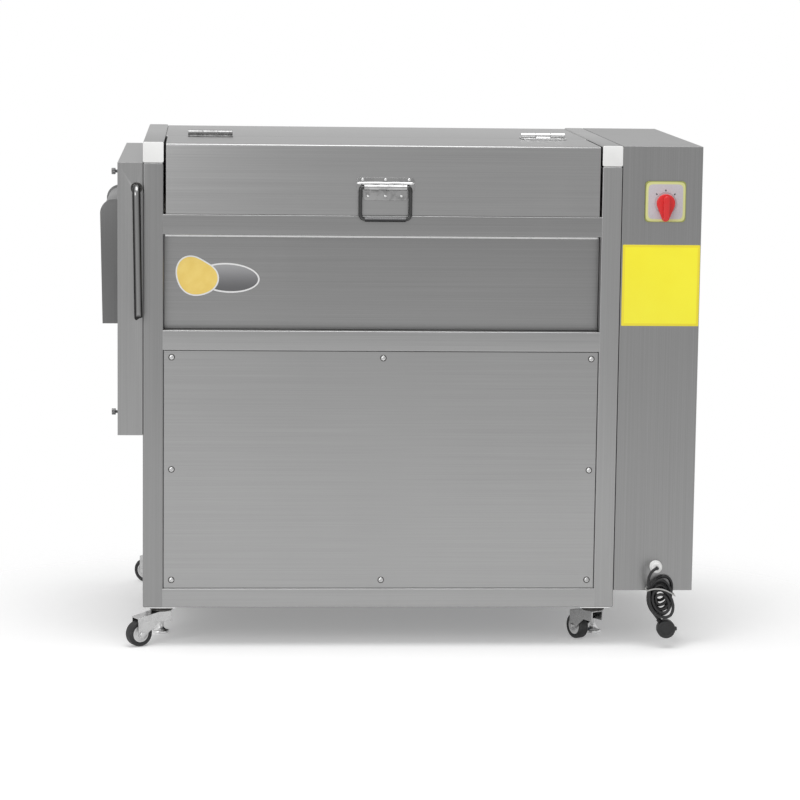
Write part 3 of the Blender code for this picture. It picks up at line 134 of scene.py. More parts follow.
class Finish:
    def __init__(self, name, **constants):
        self.material = bpy.data.materials.new(name)
        self.material.use_nodes = True
        self.nodes, self.links = self.material.node_tree.nodes, self.material.node_tree.links
        self.shader = self.nodes["Principled BSDF"]
        for socket, value in constants.items():
            self.shader.inputs[socket.replace("_", " ")].default_value = value

    def add(self, kind, settings, inputs, output=0):
        node = self.nodes.new(kind)
        for name, value in settings.items():
            setattr(node, name, value)
        for socket, value in inputs.items():
            self.feed(node.inputs[socket], value)
        return Signal(self, node.outputs[output])

    def feed(self, socket, value):
        if isinstance(value, Signal):
            self.links.new(value.socket, socket)
        else:
            socket.default_value = value

    def noise(self, stretch, detail=3.0, rough=0.5):
        """Noise from 0 to 1 in the CAD's frame. The stretch is in cycles a metre along x, y and z."""
        spot = self.add("ShaderNodeTexCoord", {}, {}, "Object")
        spot = self.add("ShaderNodeMapping", {}, {"Vector": spot, "Scale": stretch})
        inputs = {"Vector": spot, "Scale": 1.0, "Detail": detail, "Roughness": rough}
        return self.add("ShaderNodeTexNoise", {}, inputs, "Fac")

    def axis(self, name, start=0.0):
        """How far along X, Y or Z a point lies from a start, which is told in the machine's own places."""
        spot = self.add("ShaderNodeTexCoord", {}, {}, "Object")
        along = self.add("ShaderNodeSeparateXYZ", {}, {"Vector": spot}, name)
        return along - float(zero["XYZ".index(name)] + start)

    def step(self, value, low, high):
        """0 below low, 1 above high and a smooth change between."""
        settings = {"interpolation_type": "SMOOTHSTEP", "clamp": True}
        return self.add("ShaderNodeMapRange", settings, {"Value": value, "From Min": low, "From Max": high})

    def mix(self, share, first, second):
        colours = {"Factor": share, 6: (*first, 1) if isinstance(first, tuple) else first}
        colours[7] = (*second, 1) if isinstance(second, tuple) else second
        return self.add("ShaderNodeMix", {"data_type": "RGBA"}, colours, 2)

    def colour(self, value):
        self.feed(self.shader.inputs["Base Color"], value)

    def skin(self, roughness, height, distance, strength=0.4):
        """What feeds the roughness, and the height whose bump tilts the normals."""
        self.feed(self.shader.inputs["Roughness"], roughness)
        inputs = {"Height": height, "Distance": distance, "Strength": strength}
        self.feed(self.shader.inputs["Normal"], self.add("ShaderNodeBump", {}, inputs, "Normal"))


def even(cycles):
    """The same number of cycles a metre along all three axes."""
    return (cycles, cycles, cycles)


print("finishes are built from", [name for name in dir(Finish) if not name.startswith("_")])

# %% [markdown]
# The frame's tubes and the sheets are brushed stainless steel: a belt has drawn thousands of hair-thin
# scratches along them. A noise that is stretched hundreds of times along one axis looks just so. It could be an
# image, but then it would blur when the camera comes close. The brushing moves the roughness and a very
# shallow bump, and a slow cloudy noise stands for rolling marks. Each run of brushing needs its own direction.


# %% Brushed stainless steel
def grey(value, warm=0.0):
    return (value * (1 + warm), value, value * (1 - warm))


def brushed(name, along, tone):
    """Steel brushed along x, y or z."""
    steel = Finish(name, Metallic=1.0)
    fine, coarse = [1500.0] * 3, [420.0] * 3
    fine["xyz".index(along)], coarse["xyz".index(along)] = 3.0, 1.2
    hair = steel.noise(tuple(fine), 2.0, 0.6)
    strand = steel.noise(tuple(coarse), 3.0, 0.55)
    clouds = steel.noise(even(2.2), 4.0, 0.55)
    stain = steel.step(steel.noise((7.0, 7.0, 5.0), 5.0, 0.6), 0.56, 0.78)
    shine = hair * 0.45 + strand * 0.35 + clouds * 0.2
    steel.colour(steel.mix(steel.step(shine, 0.30, 0.70), grey(tone * 0.92), grey(tone * 1.08)))
    steel.skin(0.25 + hair * 0.10 + strand * 0.06 + stain * 0.05, hair * 0.7 + strand * 0.3, 0.00004)
    return steel.material


panel_steel = brushed("steel brushed across", "x", 0.345)
# A darker copy of the brushed steel for the upper panel and its rail: painted shade under the lid.
upper_steel_in_painted_shade = brushed("steel of the upper panel, in painted shade", "x", 0.27)
lid_steel = brushed("steel of the lid", "x", 0.325)
post_steel = brushed("steel brushed upwards", "z", 0.275)
# A lighter copy of the upright steel for the right posts: painted light.
right_post_steel_in_painted_light = brushed("steel of the right posts, in painted light", "z", 0.325)
side_steel = brushed("steel of the cabinet", "z", 0.28)
end_steel = brushed("steel of the end cover", "z", 0.31)
# A much darker copy of the brushed steel for the door's hood: painted shade.
hood_steel_in_painted_shade = brushed("steel of the hood, in painted shade", "z", 0.15)
top_steel = brushed("steel brushed to the back", "y", 0.35)
print("brushed steels:", [m.name for m in bpy.data.materials if m.name.startswith("steel")])

# %% [markdown]
# Small fittings are bright: zinc on the casters, chrome on the hinges and the handle. They are too smooth to
# show brushing, but never even: a fine grain and some dull patches keep them from looking like liquid. Dark
# steel is the same idea with oil on it, for the chains and sprockets.


# %% Bright and dark metal
def metal(name, tone, roughness, dull, warm=0.0):
    fitting = Finish(name, Metallic=1.0)
    grain = fitting.noise(even(900.0))
    patches = fitting.step(fitting.noise(even(60.0), 4.0, 0.6), 0.42, 0.7)
    fitting.colour(fitting.mix(patches, grey(tone, warm), grey(tone * (1 - dull), warm)))
    fitting.skin(roughness + patches * 0.16 + grain * 0.08, grain, 0.00003)
    return fitting.material


zinc = metal("zinc plate", 0.52, 0.20, 0.08)
# A lighter copy of the zinc for the caster plates and the feet: painted light.
zinc_in_painted_light = metal("zinc in painted light", 0.82, 0.30, 0.08)
chrome = metal("chrome", 0.70, 0.10, 0.10)
# Darker than the chrome. The left hinge takes it for painted shade.
plated = metal("darker nickel plate", 0.32, 0.20, 0.35)
rod_steel = metal("dark polished rod", 0.17, 0.14, 0.25)
screw_steel = metal("screw steel", 0.62, 0.2, 0.2)
oiled = metal("oiled dark steel", 0.09, 0.34, 0.4, 0.03)
print("metals:", [m.name for m in (zinc, zinc_in_painted_light, chrome, plated, rod_steel, screw_steel, oiled)])

# %% [markdown]
# Plastics and rubber differ from metal in three ways: the colour is in the body, the gloss is thin, and a
# moulded skin has a faint orange-peel. One function takes the colour, the gloss and the size of that grain.
# Dust that gathers in patches lifts the colour a little and dulls it.


# %% Plastic, rubber and paint
def moulded(name, colour, roughness, grain_size, depth, dust=0.1):
    plastic = Finish(name)
    peel = plastic.noise(even(1 / grain_size))
    patches = plastic.step(plastic.noise(even(25.0), 5.0, 0.6), 0.45, 0.75)
    dusty = tuple(c + (0.42 - c) * dust for c in colour)
    plastic.colour(plastic.mix(patches, colour, dusty))
    plastic.skin(roughness + patches * 0.12 + peel * 0.06, peel, depth, 0.5)
    return plastic.material


white_cap = moulded("white plastic", (0.90, 0.90, 0.89), 0.38, 0.0015, 0.00005, 0.06)
tie_plastic = moulded("pale tie", (0.46, 0.46, 0.45), 0.4, 0.0012, 0.00004, 0.06)
tyre = moulded("grey-black tyre", (0.020, 0.020, 0.021), 0.58, 0.0011, 0.0001, 0.12)
flex_rubber = moulded("cord rubber", (0.008, 0.008, 0.009), 0.34, 0.0007, 0.00005, 0.03)
red_cap = moulded("red plastic", (0.74, 0.022, 0.024), 0.26, 0.0012, 0.00004, 0.02)
hammered = moulded("motor paint", (0.05, 0.11, 0.22), 0.36, 0.0022, 0.0002, 0.08)
print("plastics:", [m.name for m in (white_cap, tie_plastic, tyre, flex_rubber, red_cap, hammered)])

# %% [markdown]
# Every new piece is a surface: a grid of points that depends on two parameters, or an outline that is carried
# along. Whole arrays do the work, so there is no loop over vertices. A Shape only collects grids and flat caps,
# welds them where they meet and turns their faces outwards. The finished object stays at the origin, unturned
# and unscaled, because its place is already in its mesh.


# %% From grids to pieces
class Shape:
    def __init__(self):
        self.points, self.faces, self.count = [], [], 0

    def grid(self, points, close_rows=False, close_columns=False):
        """Rows and columns of points become quads. Closing joins the last row or column to the first."""
        rows, columns = points.shape[:2]
        index = np.arange(rows * columns).reshape(rows, columns) + self.count
        if close_rows:
            index = np.vstack([index, index[:1]])
        if close_columns:
            index = np.hstack([index, index[:, :1]])
        quads = np.stack([index[:-1, :-1], index[1:, :-1], index[1:, 1:], index[:-1, 1:]], -1)
        self.points.append(points.reshape(-1, 3))
        self.faces += quads.reshape(-1, 4).tolist()
        self.count += rows * columns
        return self

    def cap(self, loop):
        """One flat face over a loop of points."""
        self.points.append(np.asarray(loop, float))
        self.faces.append(list(range(self.count, self.count + len(loop))))
        self.count += len(loop)
        return self

    def piece(self, name, finish, body, slot, *nodes, sharp=32):
        """The shape becomes a piece of the machine. The nodes are the solids that it stands for."""
        mesh = bpy.data.meshes.new(name)
        mesh.from_pydata(np.vstack(self.points).tolist(), [], self.faces)
        work = bmesh.new()
        work.from_mesh(mesh)
        bmesh.ops.remove_doubles(work, verts=work.verts, dist=2e-6)
        bmesh.ops.recalc_face_normals(work, faces=work.faces)
        work.to_mesh(mesh)
        work.free()
        piece = dress(name, mesh, finish, body, sharp)
        if nodes:
            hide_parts(*nodes)
        return piece


def dress(name, mesh, finish, body, sharp):
    """A mesh is shaded and finished, and fixed to the body that it moves with."""
    mesh.materials.clear()
    mesh.materials.append(finish)
    mesh.shade_smooth()
    mesh.set_sharp_from_angle(angle=math.radians(sharp))
    piece = bpy.data.objects.new(name, mesh)
    bpy.context.scene.collection.objects.link(piece)
    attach(piece, body)
    return piece


AXES = {"x": (1, 2, 0), "y": (0, 2, 1), "z": (0, 1, 2)}


def spread(across, up, along, axis):
    """Numbers across, up and along an axis become points of the machine in the CAD's frame."""
    across, up, along = np.broadcast_arrays(across, up, along)
    points = np.empty(across.shape + (3,))
    for values, index in zip((across, up, along), AXES[axis]):
        points[..., index] = values
    return points + zero


def columns(*values):
    """Lists of numbers side by side. A single number is repeated."""
    return np.column_stack(np.broadcast_arrays(*values))


print("axes of outlines:", AXES)

# %% [markdown]
# Four ways to a surface cover nearly all of the machine. Round things are a profile turned about an axis. Bars
# are a circle carried along a path. Blocks with soft edges are a cube whose grid is pulled back to a smaller
# inner box and pushed out again by the edge's radius. Plates are an outline carried straight, with its first and
# last loops drawn in so that the edge catches the light.


# %% Turned, bent, soft-edged and cut-out shapes
def turned(shape, profile, axis, centre, sides=48, flutes=(0, 0)):
    """Point(s, t) = centre + (radius(s) - flute(t)) * (cos t, sin t), at the profile's place(s) along the axis.
    The flutes are a depth and a number of grooves: flute(t) = depth * cos(number * t), where that is positive."""
    radius, place = np.array(profile, float).T
    t = np.linspace(0, 2 * np.pi, sides, endpoint=False)
    depth, number = flutes
    radii = radius[:, None] - depth * np.maximum(0, np.cos(number * t)) * (radius[:, None] > 0)
    return shape.grid(
        spread(centre[0] + radii * np.cos(t), centre[1] + radii * np.sin(t), place[:, None], axis),
        close_columns=True,
    )


def bent(shape, path, radius, reference, sides=24):
    """Point(s, t) = path(s) + radius * (side cos t + lift sin t), where side is square to path and reference."""
    path = np.asarray(path, float)
    ahead = np.gradient(path, axis=0)
    ahead /= np.linalg.norm(ahead, axis=1, keepdims=True)
    side = np.cross(ahead, np.asarray(reference, float))
    side /= np.linalg.norm(side, axis=1, keepdims=True)
    lift = np.cross(ahead, side)
    t = np.linspace(0, 2 * np.pi, sides, endpoint=False)
    ring = side[:, None] * np.cos(t)[:, None] + lift[:, None] * np.sin(t)[:, None]
    radii = np.broadcast_to(np.asarray(radius, float), (len(path),))
    points = path[:, None] + ring * radii[:, None, None] + zero
    return shape.grid(points, close_columns=True).cap(points[0]).cap(points[-1])


def soft_block(shape, low, high, edge):
    """Each cube face is a grid (u, v). Point = inner + edge * unit(grid - inner), where inner is the grid point
    held inside the box that is smaller by the edge."""
    low, high = np.array(low, float), np.array(high, float)
    centre, half = (low + high) / 2, (high - low) / 2
    lean = edge * np.tan(np.linspace(0, np.pi / 4, 5))
    for axis in range(3):
        u, v = (axis + 1) % 3, (axis + 2) % 3
        lines = [half[i] - edge + lean for i in (u, v)]
        lines = [np.concatenate([-line[::-1], line]) for line in lines]
        for sign in (-1, 1):
            grid = np.empty((len(lines[0]), len(lines[1]), 3))
            grid[..., u], grid[..., v] = np.meshgrid(*lines, indexing="ij")
            grid[..., axis] = sign * half[axis]
            inner = np.clip(grid, edge - half, half - edge)
            away = grid - inner
            away /= np.linalg.norm(away, axis=-1, keepdims=True)
            shape.grid(inner + edge * away + centre + zero)
    return shape


def drawn_in(outline, inset):
    """An outline moved inwards by an inset, at right angles to its sides."""
    outline = np.asarray(outline, float)
    x, y = outline.T
    turn = np.sign(np.sum(x * np.roll(y, -1) - np.roll(x, -1) * y))
    side = np.roll(outline, -1, 0) - outline
    side /= np.maximum(np.linalg.norm(side, axis=1, keepdims=True), 1e-12)
    normal = turn * np.column_stack([-side[:, 1], side[:, 0]])
    before = np.roll(normal, 1, 0)
    scale = 1 + np.sum(normal * before, 1, keepdims=True)
    return outline + inset * (normal + before) / np.maximum(scale, 0.3)


def plate(shape, outline, axis, start, end, edge, rounds=3):
    """Loop(s) = outline drawn in by edge * (1 - sin s), at edge * (1 - cos s) from each end."""
    s = np.linspace(0, np.pi / 2, rounds + 1)
    insets = edge * (1 - np.sin(s))
    steps = edge * (1 - np.cos(s)) * np.sign(end - start)
    places = np.concatenate([start + steps, (end - steps)[::-1]])
    loops = [drawn_in(outline, inset) for inset in np.concatenate([insets, insets[::-1]])]
    points = np.stack([spread(*loop.T, place, axis) for loop, place in zip(loops, places)])
    return shape.grid(points, close_columns=True).cap(points[0]).cap(points[-1])


def bow(centre, radius, first, last, count):
    """Points on an arc, its ends told in degrees."""
    t = np.radians(np.linspace(first, last, count))
    return np.column_stack([centre[0] + radius * np.cos(t), centre[1] + radius * np.sin(t)])


def round_corners(x0, x1, y0, y1, radius, count=8):
    """A rectangle whose corners are quarter circles."""
    corners = ((x1 - radius, y0 + radius, -90), (x1 - radius, y1 - radius, 0))
    corners += ((x0 + radius, y1 - radius, 90), (x0 + radius, y0 + radius, 180))
    return np.vstack([bow((x, y), radius, turn, turn + 90, count) for x, y, turn in corners])


def crown(radius, start, rise, count, power=1.0):
    """The profile of a low dome: (radius * cos(t) ** power, start + rise * sin(t)), from its rim to its top."""
    t = np.linspace(0, np.pi / 2, count)
    return np.column_stack([radius * np.cos(t) ** power, start + rise * np.sin(t)])


print("a soft block has", 6 * 9 * 9, "quads")

# %% [markdown]
# The mains cord hangs from its gland in a short loop and is then wound into a tied hank, with the plug below it.
# A cord is a fixed length of something flexible, so its route matters more than its surface. The route repeats
# the solid's: a loose drop from the gland, eight long turns that spiral in and out in four layers, and a straight
# run into the plug. A turn is an ellipse, 1.5 times as high as it is wide. Each layer then leans and slips by a
# few millimetres of its own, as turns do that a hand has wound, and the gaps between the turns stay open by
# 0.1 mm or more. A Blender curve carries a round section along the route.

# %% Cord
cord_radius, hank_radius, hank_pitch, stretch = 0.0030, 0.0235, 0.0072, 1.5
hank_x, hank_z, layers, turns_a_layer, points_a_turn = 1.0260, 0.0235, 4, 2, 48
leave_at = math.radians(230)
quarter = 0.25
last_turn = (leave_at - math.pi) / (2 * math.pi) + layers * turns_a_layer
knots, radii, climbs = [0.0], [hank_radius], [0.0]
for layer in range(1, layers):
    knots += [layer * turns_a_layer - quarter, layer * turns_a_layer + quarter]
    radii += [hank_radius - hank_pitch * (turns_a_layer - quarter if layer % 2 else quarter)] * 2
    climbs += [layer - 1, layer]
knots.append(last_turn)
radii.append(radii[-1] + hank_pitch * (last_turn - knots[-2]))
climbs.append(layers - 1)
turns = np.linspace(0, last_turn, round(last_turn * points_a_turn) + 1)
angle = math.pi + 2 * math.pi * turns
reach = np.interp(turns, knots, radii)
tie_wall = 0.0012
hank_back = -(gap + tie_wall + gap + cord_radius)
level = np.interp(turns, knots, climbs)
settle = np.clip(np.minimum(turns, last_turn - turns) / 0.3, 0, 1)
settle = settle * settle * (3 - 2 * settle)
aside = np.interp(level, range(layers), (0.00161, 0.00041, 0.00099, 0.00187)) * settle
lifted = np.interp(level, range(layers), (-0.00812, 0.00272, -0.00288, 0.00813)) * settle
lean = np.radians(np.interp(level, range(layers), (25.0, 2.6, 11.1, -22.0))) * settle
across, up = reach * np.cos(angle), stretch * reach * np.sin(angle)
hank = columns(hank_x + aside + across * np.cos(lean) - up * np.sin(lean),
               hank_back + hank_pitch * (level - (layers - 1)),
               hank_z + lifted + across * np.sin(lean) + up * np.cos(lean))

plug_y, plug_run, lead = -0.0125, 0.0210, 2 * cord_radius
leaving = np.array([-math.sin(leave_at), 0, stretch * math.cos(leave_at)])
leaving /= np.linalg.norm(leaving)
share = np.linspace(0, 1, 16)[1:]
out = hank[-1] + leaving * (plug_run - lead) * share[:, None]
out[:, 1] += (plug_y - out[:, 1]) * share * share * (3 - 2 * share)
plug_entry = hank[-1] + leaving * plug_run
plug_entry[1] = plug_y
run_in = hank[0] + np.array([0, 0, lead])
gland_x, gland_z, gland_reach = 1.017, 0.0835, 0.020
route = np.array([
    (gland_x, -gland_reach - gap, gland_z), (gland_x, -0.0265, gland_z), (1.0120, -0.0350, 0.0845),
    (1.0045, -0.0385, 0.0795), (0.9990, -0.0370, 0.0665), (1.0000, -0.0310, 0.0495),
    run_in + np.array([0, 0, lead + gap]), run_in,
])


def smooth(points, count):
    """A curve through the points. Between b and c it is the cubic that starts along c - a and ends along d - b."""
    a = np.vstack([2 * points[0] - points[1], points[:-2]])
    b, c = points[:-1], points[1:]
    d = np.vstack([points[2:], 2 * points[-1] - points[-2]])
    t = np.linspace(0, 1, count, endpoint=False)[None, :, None]
    a, b, c, d = (p[:, None] for p in (a, b, c, d))
    curve = 0.5 * (2 * b + (c - a) * t + (2 * a - 5 * b + 4 * c - d) * t**2 + (3 * b - 3 * c + d - a) * t**3)
    return np.vstack([curve.reshape(-1, 3), points[-1:]])


def lengths(path):
    """The length of each step of a path."""
    return np.linalg.norm(np.diff(path, axis=0), axis=1)


cord_route = np.vstack([smooth(route, 8)[:-1], run_in[None], hank, out, plug_entry[None]]) + zero
cord_route = cord_route[np.concatenate([[True], lengths(cord_route) > 1e-5])]
flex = bpy.data.curves.new("mains_cord", "CURVE")
flex.dimensions, flex.bevel_depth, flex.bevel_resolution, flex.use_fill_caps = "3D", cord_radius, 4, True
line = flex.splines.new("POLY")
line.points.add(len(cord_route) - 1)
line.points.foreach_set("co", columns(*cord_route.T, 1.0).ravel())
flex.materials.append(flex_rubber)
mains_cord = bpy.data.objects.new("mains_cord", flex)
bpy.context.scene.collection.objects.link(mains_cord)
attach(mains_cord, "frame")
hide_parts("cord_tail", "cord_hank")
print("cord:", round(float(lengths(cord_route).sum()), 3), "m along", len(cord_route), "points")

# %% [markdown]
# The plug is a flat round moulding with a strain relief where the cord goes in, ribs of a finger grip on its
# rim, and two pins. The ribs are what is left between the flutes of a turned shape.

# %% Plug
half_depth, plug_radius, rim_radius, neck_length = 0.011, 0.0185, 0.003, 0.014
way = leaving[[0, 2]]
entry = plug_entry[[0, 2]] + way * gap
plug_centre = entry + way * (0.006 + plug_radius)
near_face, far_face = plug_y - half_depth, plug_y + half_depth
rim = bow((plug_radius - rim_radius, near_face + rim_radius), rim_radius, -90, 0, 6)
rim_back = bow((plug_radius - rim_radius, far_face - rim_radius), rim_radius, 0, 90, 6)
hollow = near_face + 0.0007
profile = [(0, near_face), (0.009, near_face), (0.010, hollow), (0.0125, hollow), (0.0135, near_face)]
plug = turned(Shape(), np.vstack([profile, rim, rim_back, [(0, far_face)]]), "y", plug_centre, 96, (0.0004, 40))
neck_run = np.linspace(0, neck_length, 29)
neck_radius = 0.0048 + 0.0012 * neck_run / neck_length + 0.0005 * np.cos(neck_run * 2 * np.pi / 0.0028)
bent(plug, columns(entry[0] + way[0] * neck_run, plug_y, entry[1] + way[1] * neck_run), neck_radius, (0, 1, 0))
tab = 0.0038
tab_low = (plug_centre[0] + 0.010, plug_y - tab, plug_centre[1] - tab)
soft_block(plug, tab_low, (plug_centre[0] + plug_radius + tab, plug_y + tab, plug_centre[1] + tab), 0.0018)
plug_piece = plug.piece("plug_body", flex_rubber, "frame", "black_rubber")
pins = Shape()
across_way = np.array([-way[1], way[0]])
for turn in (-1, 1):
    pin_end = bow((0.0012, far_face + 0.0178), 0.0011, 0, 90, 5)
    pin = np.vstack([[(0.0023, far_face - 0.001)], pin_end, [(0, far_face + 0.0189)]])
    turned(pins, pin, "y", plug_centre + across_way * turn * 0.0095, 24)
plug_pins = pins.piece("plug_pins", chrome, "frame", "polished_steel")
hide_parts("mains_plug")
print("plug:", np.round(plug_centre, 4))

# %% [markdown]
# The gland that holds the cord in the cabinet's wall is a white cap nut with grip ribs over a split cone. The
# tie is a narrow strap round the whole hank, which arches over its turns.

# %% Gland and tie
nut = [(0.0034, 0.0070), (0.0078, 0.0070), (0.0078, -gap), (0.0118, -gap), (0.0123, -0.0008)]
nut += [(0.0123, -0.0085), (0.0118, -0.0090), (0.0112, -0.0092), (0.0110, -0.0150)]
nut += [*bow((0.0080, -0.0165), 0.0030, 0, -90, 6), (0.0046, -0.0199), (0.0034, -0.0195)]
gland = turned(Shape(), nut + nut[:1], "y", (gland_x, gland_z), 96, (0.00025, 24))
gland.piece("gland_nut", white_cap, "frame", "white_plastic", "cord_gland")
held, strap_width, strap_reach = cord_radius + gap, 0.0028, 0.026


def strap_height(x):
    """The strap's height: a level that falls to the right, with an arch over the middle."""
    u = (x - hank_x) / strap_reach
    return hank_z + 0.0120 - 0.0055 * u + 0.0075 * (1 - u * u)


spots = cord_route - zero
spots = spots[np.abs(spots[:, 2] - strap_height(spots[:, 0])) < 0.0060]
(left, front, _), (right, back, _) = spots.min(0), spots.max(0)
loops = []
for grown, side in ((0, 0.5), (0, -0.5), (0.0010, -0.45), (0.0010, 0.45)):
    room = held + grown
    section = round_corners(left - room, right + room, front - room, back + room, cord_radius + grown)
    section = np.vstack([section, section[:1]])
    run = np.concatenate([[0], np.cumsum(lengths(section))])
    x, y = (np.interp(np.linspace(0, run[-1], 161)[:-1], run, values) for values in section.T)
    loops.append(columns(x, y, strap_height(x) + side * strap_width) + zero)
strap = Shape().grid(np.stack(loops), close_rows=True, close_columns=True)
strap.piece("cord_strap", tie_plastic, "frame", "black_plastic", "cord_tie")
print("strap round", len(spots), "points of the hank")

# %% [markdown]
# The frame is welded from 40 mm square tube with rounded edges, which draw the thin bright lines along it. The
# rails run a little way into the posts, a hair behind their faces, so that the ground welds show as faint
# lines. The posts are brushed upwards and the rails across, so they are separate pieces. The right posts take a
# lighter steel, which is painted light, and the upper rail a darker one, which is painted shade. Under each
# corner sit the top plate of a caster and the two rings of its bearing. The plates take a lighter zinc, which is
# painted light, and the rings a dark steel, which is painted shade under the plate.

# %% Frame
post_top, top_tube = 0.8767, (0.877, frame_height)
upper_rail, middle_rail, bottom_rail = (0.738, 0.778), (0.5115, 0.5515), (0.0, 0.038)
rear_rail = (0.8367, post_top)
hair, into_post, caster_in, seat_half = 0.0002, 0.0035, 0.036, 0.030
race = [(0, -0.0028), (0.0215, -0.0028), (0.0232, -0.0036), (0.0236, -0.0052), (0.0228, -0.0064)]
race += [(0.0222, -0.0072), (0.0230, -0.0082), (0.0226, -0.0100), (0.0200, -0.0119), (0, -0.0119)]


def rail(shape, near_y, heights):
    start = (tube - into_post, near_y + hair, heights[0])
    return soft_block(shape, start, (frame_length - tube + into_post, near_y + tube - hair, heights[1]), 0.0028)


for row, near_y, seat_y, heights in (
    ("front", 0.0, caster_in, (middle_rail, bottom_rail)),
    ("rear", frame_depth - tube, frame_depth - caster_in, (rear_rail, bottom_rail)),
):
    for side, x, finish in (("left", 0.0, post_steel), ("right", frame_length - tube, right_post_steel_in_painted_light)):
        post = soft_block(Shape(), (x, near_y, 0), (x + tube, near_y + tube, post_top), 0.003)
        post.piece(f"{row}_post_{side}", finish, "frame", "brushed_stainless", f"{row}_frame")
    if row == "front":
        rail(Shape(), near_y, upper_rail).piece("front_upper_rail", upper_steel_in_painted_shade, "frame", "brushed_stainless")
    rails, seats, dark_races_for_painted_shade = Shape(), Shape(), Shape()
    for pair in heights:
        rail(rails, near_y, pair)
    for x in (caster_in, frame_length - caster_in):
        seat_low, seat_high = (x - seat_half, seat_y - seat_half, -0.003), (x + seat_half, seat_y + seat_half, -gap)
        soft_block(seats, seat_low, seat_high, 0.0010)
        turned(dark_races_for_painted_shade, race, "z", (x, seat_y))
    rails.piece(f"{row}_rails", panel_steel, "frame", "brushed_stainless")
    seats.piece(f"{row}_caster_seats", zinc_in_painted_light, "frame", "polished_steel")
    # The rings take the oiled dark steel: painted shade under the caster plates.
    dark_races_for_painted_shade.piece(f"{row}_caster_races", oiled, "frame", "dark_steel")
for side, x in (("left", 0.0), ("right", frame_length - tube)):
    for place, heights, y0, y1 in (("top", top_tube, 0.0033, frame_depth), ("bottom", bottom_rail, 0.0403, 0.6127)):
        side_tube = plate(Shape(), round_corners(x, x + tube, *heights, 0.003), "y", y0, y1, 0.0004)
        side_tube.piece(f"{place}_side_tube_{side}", top_steel, "frame", "brushed_stainless", f"{place}_rail_{side}")
    cap = plate(Shape(), round_corners(x, x + tube, *top_tube, 0.0035), "y", 0.0030, 0.0, 0.0011)
    cap.piece(f"tube_cap_{side}", white_cap, "frame", "white_plastic", f"rail_plug_{side}")
print("frame: 4 posts, 5 rails, 4 side tubes")

# %% [markdown]
# The panels are sheets with folded edges, held by pan-head screws. A fold has a radius of about a
# millimetre, which the soft block gives. The screws are turned: a low dome with a dimple in its middle. The
# front ones sit on dark rings which stand for the shade round their heads: painted shade.

# %% Panels and their screws
panels = {
    "lower_front_panel": ((0.0403, 0.0030, 0.0383), (0.8937, 0.0150, 0.5112), panel_steel, 0.0014),
    "upper_front_panel": ((0.0403, 0.0240, 0.5518), (0.8937, 0.0360, 0.7377), upper_steel_in_painted_shade, 0.0014),
    "rear_panel": ((0.0403, 0.6380, 0.0383), (0.8937, 0.6500, 0.8364), panel_steel, 0.0014),
    "rear_top_plate": ((0.0403, 0.2615, 0.8850), (0.8937, 0.6530, 0.9150), top_steel, 0.0016),
}
for name, (low, high, finish, edge) in panels.items():
    soft_block(Shape(), low, high, edge).piece(f"folded_{name}", finish, "frame", "brushed_stainless", name)
# A chrome strip under the upper rail's edge draws the bright line there: a painted highlight.
highlight_strip = soft_block(Shape(), (0.0420, 0.0222, 0.7325), (0.8920, 0.0246, 0.7378), 0.0008)
highlight_strip.piece("upper_panel_highlight_strip", chrome, "frame", "polished_steel")


def pan_head(shape, centre, face, out, radius=0.0052, height=0.0028):
    """A low dome with a dimple. Its profile runs from the seat over the crown to the middle."""
    dome = crown(radius, face, out * height, 7, 0.6)[:-1]
    dimple = [(radius * 0.42, face + out * height), (radius * 0.3, face + out * height * 0.55)]
    return turned(shape, np.vstack([dome, dimple, [(0, face + out * height * 0.5)]]), "y", centre, 24)


front_screws = [(x, z) for z in (0.498, 0.276, 0.055) for x in (0.056, 0.470, 0.880) if (x, z) != (0.470, 0.276)]
rear_spots = [(x, z) for x in (0.060, 0.467, 0.874) for z in (0.060, 0.437, 0.815)]
rear_spots = [spot for spot in rear_spots if spot not in ((0.467, 0.437), (0.467, 0.815))]
# Dark rings under the front screw heads stand for the shade round them: painted shade.
painted_shade_ring = [(0.0052, 0.0030), (0.0064, 0.0030), (0.0064, 0.0025), (0.0060, 0.0022), (0.0052, 0.0022)]
painted_shade_ring += painted_shade_ring[:1]
screws, painted_shade_rings, rear_screws = Shape(), Shape(), Shape()
for spot in front_screws:
    pan_head(screws, spot, 0.0031, -1)
    turned(painted_shade_rings, painted_shade_ring, "y", spot, 32)
for spot in rear_spots:
    pan_head(rear_screws, spot, 0.6499, 1)
screws.piece("front_panel_screws", screw_steel, "frame", "polished_steel")
painted_shade_rings.piece("front_screw_painted_shade_rings", oiled, "frame", "dark_steel")
rear_screws.piece("rear_panel_screws", screw_steel, "frame", "polished_steel")
print("screws:", len(front_screws), "in front and", len(rear_spots), "at the back")

# %% [markdown]
# The lid is one sheet bent over its front edge, with a hem at the bottom that rests just above the upper rail.
# Its section is an outline that is carried across the machine. The bend has 14 points, so it rolls the light
# over smoothly. The two butt hinges have three knuckles each: two belong to the rear leaf, one to the lid's.

# %% Lid
top_level, bend, sheet = 0.915, 0.005, 0.0015
bend_centre = (0.001 + bend, top_level - bend)
section = np.vstack([
    [(0.001, 0.7783)], bow(bend_centre, bend, 180, 90, 14), [(0.2585, top_level), (0.2585, top_level - sheet)],
    bow(bend_centre, bend - sheet, 90, 180, 14), [(0.0025, 0.7798), (0.0130, 0.7798), (0.0130, 0.7783)],
])
lid = plate(Shape(), section, "x", 0.0446, 0.8900, 0.0003)
lid_piece = lid.piece("bent_lid", lid_steel, "lid_body", "brushed_stainless", "lid")
print("lid:", (lid_piece.dimensions * 1000).to_tuple(1), "mm")

